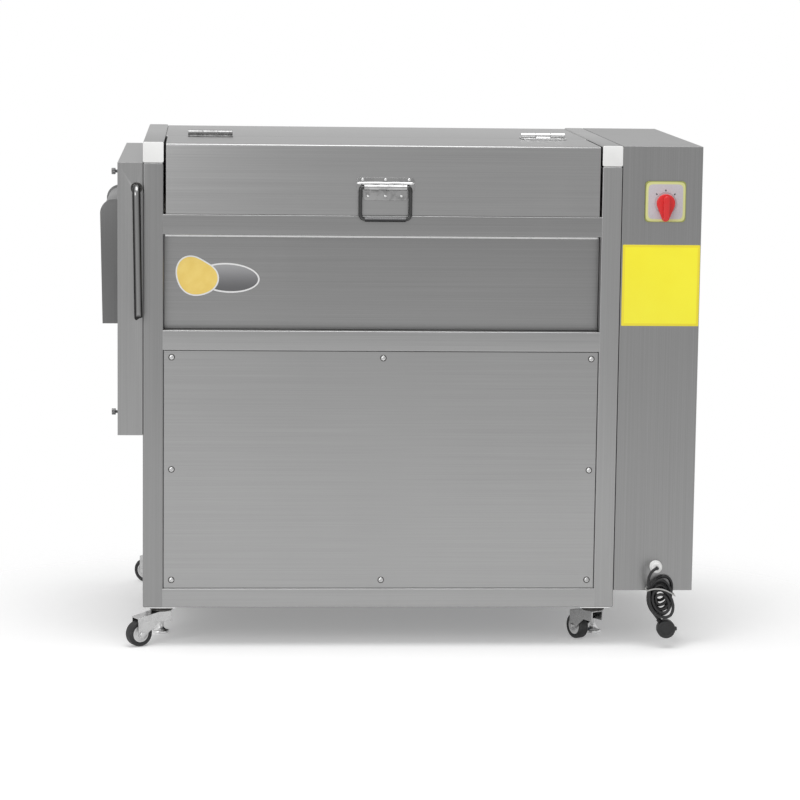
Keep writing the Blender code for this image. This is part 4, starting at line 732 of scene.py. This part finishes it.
# %% Hinges
hinge_y, hinge_z, knuckle, ease, corner = 0.260, 0.9213, 0.0060, 0.0006, 0.008
leaf_half, third, leaf_low, leaf_high = 0.045, 0.030, 0.9153, 0.9173
# The left hinge takes the darker plate, which is painted shade on it. The right one takes chrome.
for side, centre, leaf_finish in (("left", 0.130, plated), ("right", 0.804, chrome)):
    for kind, body, way_y, numbers in (("rear", "frame", 1, (0, 2)), ("lid", "lid_body", -1, (1,))):
        near_y, far_y = hinge_y + way_y * 0.007, hinge_y + way_y * 0.037
        x0, x1, round_y, turn = centre - leaf_half, centre + leaf_half, far_y - way_y * corner, way_y * 90
        outline = np.vstack([[(x0, near_y), (x1, near_y)], bow((x1 - corner, round_y), corner, 0, turn, 8),
                             bow((x0 + corner, round_y), corner, turn, 2 * turn, 8)])
        leaf = plate(Shape(), outline, "z", leaf_low, leaf_high, 0.0005)
        low_y, high_y = sorted((hinge_y, near_y + way_y * 0.002))
        for number in numbers:
            a, b = x0 + number * third + gap, x0 + (number + 1) * third - gap
            barrel = [(0, a), (knuckle - ease, a), (knuckle, a + ease), (knuckle, b - ease), (knuckle - ease, b)]
            turned(leaf, [*barrel, (0, b)], "x", (hinge_y, hinge_z), 32)
            soft_block(leaf, (a, low_y, leaf_low + 0.0001), (b, high_y, leaf_high - 0.0001), 0.0004)
        for x in (centre - 0.031, centre, centre + 0.031):
            turned(leaf, crown(0.0042, leaf_high - 0.0001, 0.0009, 5), "z", (x, hinge_y + way_y * 0.022), 20)
        node = f"hinge_{side}_{kind}_leaf"
        leaf.piece(f"{node}_fine", leaf_finish, body, "polished_steel", node)
print("hinges:", 2)

# %% [markdown]
# The drop handle is a pressed plate, riveted to the lid's flap, with a wavy ridge pressed into it and a rolled
# barrel that a bent bar turns in. The bar is a circle carried along a path of straight runs and arcs, in a nearly
# black steel that is a painted dark reflection. Its black grip is a sleeve with rings, grey on top: a painted shine.

# %% Handle
handle_x, pivot_z, handle_back, handle_sheet, barrel_radius = 0.470, 0.833, 0.0007, 0.002, 0.0056
bail_y = handle_back - handle_sheet - barrel_radius + 0.00075
shoulder, foot, top, corner = pivot_z - barrel_radius, 0.8075, 0.852, 0.008
narrow, wide = 0.044, 0.057
face = np.vstack([
    [(handle_x - wide, shoulder), (handle_x - narrow, shoulder - 0.0015)],
    bow((handle_x - narrow + corner, foot + corner), corner, 180, 270, 8),
    bow((handle_x + narrow - corner, foot + corner), corner, 270, 360, 8),
    [(handle_x + narrow, shoulder - 0.0015), (handle_x + wide, shoulder)],
    bow((handle_x + wide - corner, top - corner), corner, 0, 90, 8),
    bow((handle_x - wide + corner, top - corner), corner, 90, 180, 8),
])
handle = plate(Shape(), face, "y", handle_back, handle_back - handle_sheet, 0.0006)
handle.piece("handle_plate_fine", plated, "lid_body", "polished_steel", "handle_plate")
along = np.linspace(-1, 1, 81)
wave = 0.0006 * np.cos(along * 3 * np.pi)
ridge_path = columns(handle_x + 0.0565 * along, handle_back - 0.0016, pivot_z + 0.0074 - wave)
ridge = bent(Shape(), ridge_path, (0.0036 + wave) * np.sqrt(np.maximum(0.04, 1 - along**12)), (0, 1, 0))
ridge.piece("handle_pressed_ridge", chrome, "lid_body", "polished_steel")
a, b = handle_x - 0.042, handle_x + 0.042
barrel = [(0.0040, a + 0.0010), (0.0050, a), (barrel_radius, a + 0.0006), (barrel_radius, b - 0.0006), (0.0050, b)]
barrel = turned(Shape(), [*barrel, (0.0040, b - 0.0010), barrel[0]], "x", (bail_y, pivot_z), 40)
barrel.piece("handle_barrel", metal("rolled barrel", 0.46, 0.14, 0.3), "lid_body", "polished_steel")
rivets = Shape()
for z, row in ((0.8482, (0.4255, 0.470, 0.5160)), (0.8165, (0.436, 0.470, 0.5015))):
    for x in row:
        turned(rivets, crown(0.0030, handle_back - 0.0019, -0.0015, 6), "y", (x, z), 20)
rivets.piece("handle_rivets", chrome, "lid_body", "polished_steel")

arm, drop, corner = 0.04875, 0.062, 0.010
half = np.vstack([
    columns(np.linspace(-0.030, -arm + 0.006, 8), pivot_z),
    bow((-arm + 0.005, pivot_z - 0.005), 0.005, 90, 180, 10)[1:],
    columns(-arm, np.linspace(pivot_z - 0.006, pivot_z - drop + corner + 0.001, 8)),
    bow((-arm + corner, pivot_z - drop + corner), corner, 180, 270, 14),
])
flat = np.vstack([half, half[::-1] * [-1, 1]])
bail = bent(Shape(), columns(handle_x + flat[:, 0], bail_y, flat[:, 1]), 0.0036, (0, 1, 0))
# The bar's steel is nearly black: a painted dark reflection.
bail.piece("handle_bar", metal("handle bar steel", 0.085, 0.15, 0.3), "bail", "polished_steel", "handle_bail")
run = np.linspace(0, 0.080, 161)
sleeve = 0.0049 + 0.0003 * np.cos(run * 2 * np.pi / 0.0035)
sleeve[[0, -1]], sleeve[[1, -2]] = 0.0040, 0.0047
grip = turned(Shape(), columns(sleeve, handle_x - 0.040 + run), "x", (bail_y, pivot_z - drop), 32)
# The sleeve is grey on top and black below: a painted shine on its top.
sleeve_finish = Finish("sleeve with painted shine", Metallic=0.35)
wear_and_painted_shine = sleeve_finish.step(sleeve_finish.axis("Z", pivot_z - drop), -0.0022, 0.0040)
dust = sleeve_finish.noise(even(400.0))
sleeve_finish.colour(sleeve_finish.mix(wear_and_painted_shine * (0.85 + dust * 0.3), (0.012, 0.012, 0.013), (0.26, 0.26, 0.265)))
sleeve_finish.skin(0.36 + dust * 0.12, dust, 0.00004)
grip.piece("handle_sleeve", sleeve_finish.material, "bail", "black_plastic", "handle_grip")
print("handle bar:", len(flat), "points")

# %% [markdown]
# The covers at both ends are folded boxes with openings, and their solids already have the right shape. For such
# a sheet it is enough to weld a copy of the solid's loose triangles, to clear the flat faces of needless edges
# and to give every fold a small Bevel, which catches a line of light. The solid itself is never changed.


# %% Refined copies of solids
def refined(node, name, finish, body, width):
    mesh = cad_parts[node].data.copy()
    work = bmesh.new()
    work.from_mesh(mesh)
    bmesh.ops.remove_doubles(work, verts=work.verts, dist=1e-5)
    bmesh.ops.dissolve_limit(work, angle_limit=math.radians(0.5), verts=work.verts, edges=work.edges)
    work.to_mesh(mesh)
    work.free()
    piece = dress(name, mesh, finish, body, 40)
    rounding = piece.modifiers.new("folds", "BEVEL")
    rounding.width, rounding.segments, rounding.limit_method = width, 2, "ANGLE"
    rounding.angle_limit = math.radians(40)
    rounding.harden_normals = True
    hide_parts(node)
    return piece


cover = refined("left_end_cover", "folded_end_cover", end_steel, "frame", 0.0006)
cabinet = refined("drive_cabinet", "folded_drive_cabinet", side_steel, "frame", 0.0006)
print("cover and cabinet:", len(cover.data.polygons), len(cabinet.data.polygons), "faces")

# %% [markdown]
# The discharge door is a hood between two cheeks that swings on a steel bar. The bar comes out through the front
# of the cover, where it is bent down to be the lever that opens the door. The hood's skin sits a little inside
# its cheeks. Both follow one outline: round the bar, over a round corner and down to the foot. The hood's steel is
# darker, which is painted shade. The lever's colour darkens away from its axis and towards its end: a painted dark
# reflection along its sides and painted shade at its end.

# %% Discharge door and lever
door_x, door_z, door_foot, door_round = -0.012, 0.828, 0.549, 0.028


def hood(inset):
    """The hood's outline across y, from its foot round the outside and over a flat top to its bar."""
    r, hub = door_round - inset, 0.012 - inset
    centre = (-0.0870 + door_round, door_z - 0.0315 - door_round)
    return np.vstack([
        [(-0.002, door_foot + inset), (-0.0825 + inset, door_foot + inset)], bow(centre, r, 180, 90, 24),
        [(-0.040 + 0.6 * inset, centre[1] + r)], bow((door_x, door_z), hub, 135, 45, 12),
        [(-0.002, door_z + hub * 0.5)],
    ])


door = Shape()
for a, b in ((0.1265, 0.1305), (0.5225, 0.5265)):
    plate(door, hood(0), "y", a, b, 0.0006)
plate(door, np.vstack([hood(0.004)[1:], hood(0.006)[1:][::-1]]), "y", 0.1300, 0.5230, 0.0002)
door.piece("door_hood", hood_steel_in_painted_shade, "door", "brushed_stainless", "discharge_door", sharp=28)
elbow_radius, lever_y, lean_out, lever_end = 0.014, -0.020, 0.0045, 0.5762
elbow_z = door_z - elbow_radius
elbow = bow((lever_y + elbow_radius, elbow_z), elbow_radius, 90, 180, 16)
lever_path = np.vstack([
    columns(door_x, np.concatenate([[0.656, 0.6555, 0.6545], np.linspace(0.650, -0.004, 24)]), door_z),
    columns(door_x, *elbow.T),
    columns(np.linspace(door_x, door_x + lean_out, 23)[1:], lever_y,
            np.concatenate([np.linspace(elbow_z, 0.5785, 20)[1:], [0.5772, 0.5765, lever_end]])),
])
thick = np.full(len(lever_path), 0.008)
thick[:3], thick[-3:] = (0.0066, 0.0074, 0.008), (0.0078, 0.0072, 0.0062)
# Darker away from the axis and at the end: a painted dark reflection along the sides and painted shade at the end.
bar_finish = Finish("door bar steel", Metallic=1.0)
height = bar_finish.axis("Z", elbow_z)
beside = bar_finish.axis("X", door_x) - height * (lean_out / (lever_end - elbow_z))
painted_shade_at_end = 1 - bar_finish.step(bar_finish.axis("Z"), 0.5790, 0.5860)
dark = bar_finish.step(abs(beside), 0.0016, 0.0062).or_more(painted_shade_at_end)
bar_grain = bar_finish.noise((900.0, 900.0, 40.0))
bar_finish.colour(bar_finish.mix(dark * (0.9 + bar_grain * 0.2), grey(0.27), grey(0.02)))
bar_finish.skin(0.16 + bar_grain * 0.10, bar_grain, 0.00003)
lever = bent(Shape(), lever_path, thick, (1, 0, 0), 32)
lever.piece("door_bar", bar_finish.material, "door", "polished_steel", "door_lever")

bush = [(0.0085, -0.0030), (0.0085, -0.0037), (0.0108, -0.0037), (0.0113, -0.0033), (0.0113, -0.0004)]
bush = turned(Shape(), [*bush, (0.0085, -0.0004)], "y", (door_x, door_z))
bush.piece("door_bar_bush", oiled, "frame", "dark_steel")
thumbs = Shape()
knurl = [(0.0030, -0.0488), (0.0030, -0.0530), (0.0058, -0.0532), (0.0062, -0.0538), (0.0062, -0.0600)]
for z in (0.8590, 0.3880):
    turned(thumbs, [*knurl, (0.0056, -0.0608), (0, -0.0610)], "x", (0.020, z), 72, (0.0004, 24))
thumbs.piece("cover_thumb_screws", rod_steel, "frame", "polished_steel")
print("door, lever and", 2, "thumb screws")

# %% [markdown]
# The rotary switch is a square faceplate with a red knob: a disc that tapers to a tail, with a grip bar along
# it. The faceplate's print is procedural. Its border starts where a rounded square passes a limit: the ninth
# root of the sum of ninth powers, which is nearly the larger of two distances from the middle. Each mark is a
# thin band along one direction. Nothing is lettered, only three plain marks.

# %% Switch
switch_x, switch_z, knob_z, mark_degrees = 1.0185, 0.8095, 0.8065, (-45, 0, 45)
print_finish = Finish("switch faceplate", Metallic=0.0)
u, v = print_finish.axis("X", switch_x), print_finish.axis("Z", knob_z)
tall = abs(print_finish.axis("Z", switch_z))
edge = ((abs(u) * 100) ** 9 + (tall * 100) ** 9) ** (1 / 9) * 0.01
outside = print_finish.step(edge, 0.0338, 0.0346)
dial = (u * u + v * v) ** 0.5
mark = u * 0
for degrees in mark_degrees:
    c, s = math.cos(math.radians(degrees)), math.sin(math.radians(degrees))
    mark = mark.or_more((abs(u * c + v * s) < 0.0013) * (v * c - u * s > 0.0232) * (dial < 0.0268))
speck = print_finish.noise(even(700.0))
inner = print_finish.mix(print_finish.step(speck, 0.3, 0.7), (0.53, 0.49, 0.52), (0.62, 0.58, 0.61))
inner = print_finish.mix(mark, inner, (0.03, 0.03, 0.035))
border = print_finish.mix(print_finish.step(edge, 0.0378, 0.0396), (0.70, 0.70, 0.30), (0.30, 0.32, 0.07))
print_finish.colour(print_finish.mix(outside, inner, border))
print_finish.skin(0.34 + speck * 0.1, speck, 0.00004)
left, right, low, high = (middle + side * 0.040 for middle in (switch_x, switch_z) for side in (-1, 1))
faceplate = plate(Shape(), round_corners(left, right, low, high, 0.0075, 10), "y", -gap, -0.0043, 0.0010)
collar = [(0, -0.0040), (0.0205, -0.0040), (0.0215, -0.0050), (0.0212, -0.0044), (0.0218, -0.0040)]
turned(faceplate, collar, "y", (switch_x, knob_z), 64)
turned(faceplate, [(0.0237, -0.0005), (0.0237, 0.0450), (0, 0.0450)], "y", (switch_x, knob_z))
faceplate.piece("switch_faceplate", print_finish.material, "frame", "pale_plastic", "switch_plate")


def teardrop(big, small, length=0.0284):
    """A circle and a smaller one below it, joined by their common tangents."""
    tilt = math.degrees(math.asin((big - small) / length))
    upper = bow((switch_x, knob_z), big, -tilt, 180 + tilt, 40)
    return np.vstack([upper, bow((switch_x, knob_z - length), small, 180 + tilt, 360 - tilt, 16)])


knob = plate(Shape(), teardrop(0.0182, 0.0072), "y", -0.0048, -0.0120, 0.0018, 5)
grip_outline = teardrop(0.0062, 0.0054)
grip_outline[:, 1] += 0.0085 * (grip_outline[:, 1] > knob_z)
plate(knob, grip_outline, "y", -0.0115, -0.0236, 0.0022, 5)
knob.piece("switch_knob_fine", red_cap, "knob", "red_plastic", "switch_knob")
print("switch marks at", mark_degrees, "degrees")

# %% [markdown]
# Three stickers sit on the machine: a plain yellow one on the cabinet, and on the upper panel a dark oval
# with a warm yellow round one before it. A sticker is a thin plate, and its film has small waves where it
# wasn't pressed down evenly. The yellow one has a printed rim; the other two lie on white rims of their own.
# The yellow film glows a little, which is painted light, and the dark oval is lighter towards its top, a
# painted highlight.

# %% Stickers
# The film glows a little, though it is no lamp: painted light.
film = Finish("yellow film", Coat_Weight=0.3, Emission_Color=(1.0, 0.92, 0.0, 1.0), Emission_Strength=0.07)
waves = film.noise(even(60.0))
fade = film.noise(even(6.0), 4.0)
label_x, label_z, half_w, half_h, rim_width, blur = 1.0135, 0.6445, 0.0765, 0.0800, 0.0050, 0.0002
rim = film.step(abs(film.axis("X", label_x)), half_w - rim_width - blur, half_w - rim_width + blur)
rim = rim.or_more(film.step(abs(film.axis("Z", label_z)), half_h - rim_width - blur, half_h - rim_width + blur))
yellow = film.mix(film.step(fade, 0.3, 0.7), (0.95, 0.85, 0.02), (1.0, 0.92, 0.035))
film.colour(film.mix(rim, yellow, (0.86, 0.72, 0.03)))
film.skin(0.32 + fade * 0.12, waves, 0.0002, 0.35)
outline = round_corners(label_x - half_w, label_x + half_w, label_z - half_h, label_z + half_h, 0.002)
label = plate(Shape(), outline, "y", -0.0001, -0.0005, 0.0002)
label.piece("plain_yellow_sticker", film.material, "frame", "pale_plastic")
oval_film = Finish("dark film", Coat_Weight=0.4)
# Lighter towards the top: a painted highlight.
painted_highlight = oval_film.step(oval_film.axis("Z"), 0.628, 0.690)
grainy = oval_film.noise(even(500.0))
oval_film.colour(oval_film.mix(painted_highlight, (0.10, 0.10, 0.105), (0.40, 0.40, 0.41)))
oval_film.skin(0.3 + grainy * 0.12, grainy, 0.00004)
rim_film = moulded("white sticker rim", (0.86, 0.86, 0.86), 0.35, 0.002, 0.00004, 0.02)
warm_film = Finish("warm yellow film", Coat_Weight=0.3)
drift = warm_film.noise(even(30.0), 4.0)
warm_film.colour(warm_film.mix(warm_film.step(drift, 0.3, 0.7), (0.90, 0.64, 0.14), (0.96, 0.72, 0.20)))
warm_film.skin(0.32 + drift * 0.12, drift, 0.0002, 0.3)
t = np.linspace(0, 2 * np.pi, 97)[:-1]
c, s = math.cos(math.radians(-3)), math.sin(math.radians(-3))
blob = 0.0375 + 0.0035 * np.cos(2 * t + 1.1) + 0.0022 * np.cos(3 * t)


def oval_ring(grow):
    a, b = (0.058 + grow) * np.cos(t), (0.026 + grow) * np.sin(t)
    return columns(0.166 + a * c - b * s, 0.652 + a * s + b * c)


def round_ring(grow):
    return columns(0.1035 + (blob + grow) * np.cos(t), 0.655 + (blob + grow) * np.sin(t))


for name, ring, rim_width, back, rim_front, finish, slot in (
    ("oval_sticker", oval_ring, 0.0032, 0.02405, 0.0236, oval_film.material, "black_plastic"),
    ("round_sticker", round_ring, 0.0028, 0.0235, 0.0231, warm_film.material, "pale_plastic"),
):
    white_rim = plate(Shape(), ring(rim_width), "y", back, rim_front, 0.0001)
    white_rim.piece(f"{name}_rim", rim_film, "frame", slot)
    plate(Shape(), ring(0.0), "y", back, rim_front - gap, 0.0001).piece(name, finish, "frame", slot)
print("stickers:", 3)

# %% [markdown]
# Each caster has a pressed fork, an axle with a nut, and a wheel with a pale hub in a dark tyre. The wheels are
# made about an axle of their own, and then one turn and one shift take each to its corner. The levelling feet
# are turned pads on threaded screws: the thread is rings at its pitch, which read as a thread at this size.

# %% Casters
headings = {"front_left": 209, "front_right": 120, "rear_left": 148, "rear_right": 195}
axle = (0.050, -0.054)
hub_plastic = moulded("pale hub", (0.76, 0.76, 0.76), 0.4, 0.0012, 0.00006, 0.05)
tread = [(0.0165, -0.0088), (0.0185, -0.0098), (0.0210, -0.0099), *bow((0.0215, -0.0060), 0.0040, -75, -8, 8)]
tread += [(0.0255, -0.0030)]
hub = [(0.0036, -0.0100), (0.0068, -0.0100), (0.0074, -0.0094), (0.0080, -0.0072), (0.0132, -0.0072)]
hub += [(0.0142, -0.0086), (0.0166, -0.0090)]
tread, hub = (half + [(a, -b) for a, b in half[::-1]] + half[:1] for half in (tread, hub))


def to_corner(shape, heading, x, y):
    """Point = spot + (point turned about z by the heading)."""
    c, s = math.cos(math.radians(heading)), math.sin(math.radians(heading))
    turn = np.array([[c, s, 0], [-s, c, 0], [0, 0, 1]])
    shape.points = [(points - zero) @ turn + np.array([x, y, 0]) + zero for points in shape.points]
    return shape


for corner_name, heading in headings.items():
    swivel, wheel = f"swivel_{corner_name}", f"wheel_{corner_name}"
    row, side = corner_name.split("_")
    x = caster_in if side == "left" else frame_length - caster_in
    y = caster_in if row == "front" else frame_depth - caster_in
    refined(f"caster_fork_{corner_name}", f"pressed_fork_{corner_name}", zinc, swivel, 0.0005)
    nuts = Shape()
    for out in (-1, 1):
        seat = out * 0.0138
        nut_end = seat + out * 0.0030
        nut = [(0.0050, seat), (0.0050, seat + out * 0.0026), (0.0046, nut_end), (0, nut_end)]
        turned(nuts, nut, "y", axle, 6)
        turned(nuts, [(0.0064, seat), (0.0064, seat + out * 0.0007), (0.0030, seat + out * 0.0008)], "y", axle, 24)
    nuts = to_corner(nuts, heading, x, y)
    nuts.piece(f"axle_nuts_{corner_name}", screw_steel, swivel, "polished_steel", sharp=25)
    rubber = to_corner(turned(Shape(), tread, "y", axle, 72), heading, x, y)
    rubber.piece(f"tyre_{corner_name}", tyre, wheel, "black_rubber", f"caster_wheel_{corner_name}")
    core = to_corner(turned(Shape(), hub, "y", axle, 60), heading, x, y)
    core.piece(f"hub_{corner_name}", hub_plastic, wheel, "black_rubber")
print("casters:", len(headings))

# %% Levelling feet
foot_in, rings, thread_step = 0.132, np.arange(26), 0.00125
pad = [(0, 0), (0.0158, 0), (0.0170, 0.0012), (0.0170, 0.0052), (0.0164, 0.0062)]
pad += [*bow((0.0172, 0.0165), 0.0105, 262, 180, 8), (0.0067, 0.0240), (0.0090, 0.0296), (0.0150, 0.0302)]
pad += [(0.0155, 0.0310), (0.0155, 0.0370), (0.0150, 0.0378), (0.0058, 0.0380)]
thread = columns(np.where(rings % 2, 0.0050, 0.0044), 0.0392 + rings * thread_step)
foot_profile = np.vstack([pad, thread, [(0.0044, 0.1040), (0, 0.1040)]]) + [0, floor_z]
for corner_name in headings:
    row, side = corner_name.split("_")
    x = 0.033 if side == "left" else frame_length - 0.022
    y = foot_in if row == "front" else frame_depth - foot_in
    # The feet take the lighter zinc, which is painted light.
    foot_shape = turned(Shape(), foot_profile, "z", (x, y))
    foot_shape.piece(f"turned_foot_{corner_name}", zinc_in_painted_light, f"foot_{corner_name}", "polished_steel",
                     f"levelling_foot_{corner_name}")
print("feet:", len(headings))

# %% [markdown]
# Nine brush rollers make the trough. Each real one has thousands of nylon bristles in tufts that wind round its
# core. Single bristles would cost millions of faces, so the surface carries the tufts and the material carries
# the bristles: the radius dips in a helix between rows and again between tufts, and a fine noise does the rest.

# %% Brush rollers
bristles = Finish("nylon bristles", Metallic=0.0)
tip = bristles.noise(even(1300.0), 2.0, 0.6)
wear_and_painted_shine = bristles.noise(even(30.0), 4.0, 0.6)
tuft_tone = bristles.step(tip * 0.75 + wear_and_painted_shine * 0.25, 0.34, 0.66)
bristles.colour(bristles.mix(tuft_tone, (0.30, 0.29, 0.25), (0.74, 0.73, 0.66)))
bristles.skin(0.52 + tip * 0.25, tip, 0.0012, 0.9)
rollers, middle_roller, teeth, chain_pitch = 9, 5, 13, 0.015875
pitch_radius = chain_pitch / (2 * math.sin(math.pi / teeth))
ring_y, ring_z, ring_radius = frame_depth / 2, 0.750, 0.235
brush_start, brush_end, core_radius, ridges, twist = 0.029, 0.905, 0.026, 8, 2.4
inner_row, outer_row = 0.940, 0.960


def sprocket(shape, place, row):
    """Thirteen teeth: the outline steps between a root and a tip radius."""
    turn = (np.repeat(np.arange(teeth), 4) + np.tile([-0.30, -0.10, 0.10, 0.30], teeth)) * 2 * np.pi / teeth
    reach = pitch_radius + np.tile([-0.005, 0.0045, 0.0045, -0.005], teeth)
    outline = columns(place[0] + reach * np.cos(turn), place[1] + reach * np.sin(turn))
    return plate(shape, outline, "x", row - 0.00275, row + 0.00275, 0.0004, 1)


t = np.linspace(0, 2 * np.pi, 73)[:-1]
x = np.linspace(brush_start, brush_end, 190)[:, None]
helix = 0.5 + 0.5 * np.cos(ridges * t[None, :] - x * twist * ridges)
tuft = 0.5 + 0.5 * np.cos(x * 2 * np.pi / 0.014 + 4 * t[None, :])
radius = 0.0438 - 0.0048 * (1 - helix) ** 2 - 0.0012 * (1 - tuft) * helix
left_end = [(0, 0.0060), (0.0090, 0.0060), (0.0100, 0.0070), (0.0100, 0.0252), (0.0255, 0.0256), (0.0258, 0.0292)]
for number in range(1, rollers + 1):
    heading = math.pi * (1 + (number - 1) / (rollers - 1))
    place = (ring_y + ring_radius * math.cos(heading), ring_z + ring_radius * math.sin(heading))
    surface = spread(place[0] + radius * np.cos(t), place[1] + radius * np.sin(t), x, "x")
    ends = spread(place[0] + core_radius * np.cos(t), place[1] + core_radius * np.sin(t), x[[0, -1]], "x")
    brush = Shape().grid(np.concatenate([ends[:1], surface, ends[1:]]), close_columns=True)
    brush.cap(ends[0]).cap(ends[1])
    brush.piece(f"bristles_{number}", bristles.material, f"roller_{number}", "nylon_bristle",
                f"brush_roller_{number}", sharp=60)
    far = (outer_row if number == middle_roller else inner_row) + 0.00875
    shaft = turned(Shape(), left_end, "x", place, 32)
    right_end = [(0.0258, 0.9048), (0.0255, 0.9084), (0.0100, 0.9088), (0.0100, far - 0.001), (0.0090, far)]
    turned(shaft, [*right_end, (0, far)], "x", place, 32)
    sprocket(shaft, place, inner_row)
    if number == middle_roller:
        sprocket(shaft, place, outer_row)
    shaft.piece(f"roller_shaft_{number}", oiled, f"roller_{number}", "dark_steel")
print("rollers:", rollers)

# %% [markdown]
# What is left of the solids keeps its shape and only gets a finish: inside walls, hopper, spray pipe, motor and
# chains. A solid takes a finish through its material slot.

# %% Finishes for the rest
rest = {
    "left_side_plate": side_steel, "right_side_plate": side_steel, "water_hopper": panel_steel,
    "spray_pipe": chrome, "gear_motor": hammered, "drive_sprocket": oiled, "drive_chain": oiled,
    "roller_chain": oiled,
}
for node, finish in rest.items():
    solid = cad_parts[node]
    for number in range(len(solid.material_slots)):
        solid.material_slots[number].material = finish
print("solids that still show:", [name for name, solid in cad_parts.items() if not solid.hide_render])

# %% [markdown]
# The studio is plain: a pale floor, a world that looks white to the camera, and two large soft lamps. Steel
# shows what it mirrors, so the pale surroundings decide its tone more than the lamps do, and the lamps only
# add a slow change from top to bottom and the soft shadow under the machine. Away from the machine the floor
# fades into the white world, for the camera only, so no horizon shows and the shadow stays.

# %% Floor, world and lamps
floor_mesh = bpy.data.meshes.new("floor")
corners = np.array([(-1, -1, 0), (1, -1, 0), (1, 1, 0), (-1, 1, 0)]) * 30.0
floor_mesh.from_pydata((corners + [0, 0, zero[2] + floor_z]).tolist(), [], [(0, 1, 2, 3)])
floor = bpy.data.objects.new("floor", floor_mesh)
bpy.context.scene.collection.objects.link(floor)
floor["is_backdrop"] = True
ground = Finish("studio floor", Roughness=1.0, Specular_IOR_Level=0.0, Base_Color=(0.86, 0.86, 0.86, 1))
ray = ground.nodes.new("ShaderNodeLightPath")
glow = ground.add("ShaderNodeEmission", {}, {"Color": (1, 1, 1, 1), "Strength": 0.27}, "Emission")
seen = Signal(ground, ray.outputs["Is Camera Ray"])
mirrored = Signal(ground, ray.outputs["Is Glossy Ray"])
plain = Signal(ground, ground.shader.outputs[0])
light = ground.add("ShaderNodeAddShader", {}, {0: plain, 1: glow})
lit = ground.add("ShaderNodeMixShader", {}, {0: seen.or_more(mirrored), 1: plain, 2: light})
beside = (abs(ground.axis("X", -zero[0])) - 0.45).or_more(0.0)
behind = (ground.axis("Y", -zero[1]) - 0.05).or_more(0.0)
fading = ground.step((beside * beside + behind * behind) ** 0.5, 0.10, 0.75) * seen
clear = ground.add("ShaderNodeBsdfTransparent", {}, {})
chosen = ground.add("ShaderNodeMixShader", {}, {0: fading, 1: lit, 2: clear})
ground.links.new(chosen.socket, ground.nodes["Material Output"].inputs["Surface"])
floor_mesh.materials.append(ground.material)

world = bpy.data.worlds.new("studio")
bpy.context.scene.world = world
world.use_nodes = True
nodes, links = world.node_tree.nodes, world.node_tree.links
nodes.clear()
path, either = nodes.new("ShaderNodeLightPath"), nodes.new("ShaderNodeMath")
either.operation = "MAXIMUM"
soft, white, mirror = (nodes.new("ShaderNodeBackground") for _ in range(3))
for background, strength in ((soft, 0.48), (mirror, 0.78), (white, 1.0)):
    background.inputs["Color"].default_value = (1, 1, 1, 1)
    background.inputs["Strength"].default_value = strength
by_mirror, by_camera = nodes.new("ShaderNodeMixShader"), nodes.new("ShaderNodeMixShader")
output = nodes.new("ShaderNodeOutputWorld")
for node, sources in (
    (either, (path.outputs["Is Camera Ray"], path.outputs["Is Transmission Ray"])),
    (by_mirror, (path.outputs["Is Glossy Ray"], soft.outputs[0], mirror.outputs[0])),
    (by_camera, (either.outputs[0], by_mirror.outputs[0], white.outputs[0])),
    (output, (by_camera.outputs[0],)),
):
    for number, source in enumerate(sources):
        links.new(source, node.inputs[number])


def soft_lamp(name, place, size, power):
    """A square lamp that faces the machine's middle."""
    lamp = bpy.data.objects.new(name, bpy.data.lights.new(name, "AREA"))
    lamp.data.energy, lamp.data.size = power, size
    lamp.location = Vector(at(*place))
    lamp.rotation_euler = (Vector(at(0.45, 0.3, 0.45)) - lamp.location).to_track_quat("-Z", "Y").to_euler()
    bpy.context.scene.collection.objects.link(lamp)
    return lamp


lamps = [soft_lamp("overhead", (0.4, -0.6, 4.2), 3.0, 95), soft_lamp("front", (-2.6, -4.2, 2.4), 2.5, 60)]
bpy.context.scene.view_settings.view_transform = "Standard"
print("lamps:", [(lamp.name, lamp.data.energy) for lamp in lamps])

# %% Sizes and the end
low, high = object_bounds()
print("final box:", [round(v, 4) for v in (*low, *high)])
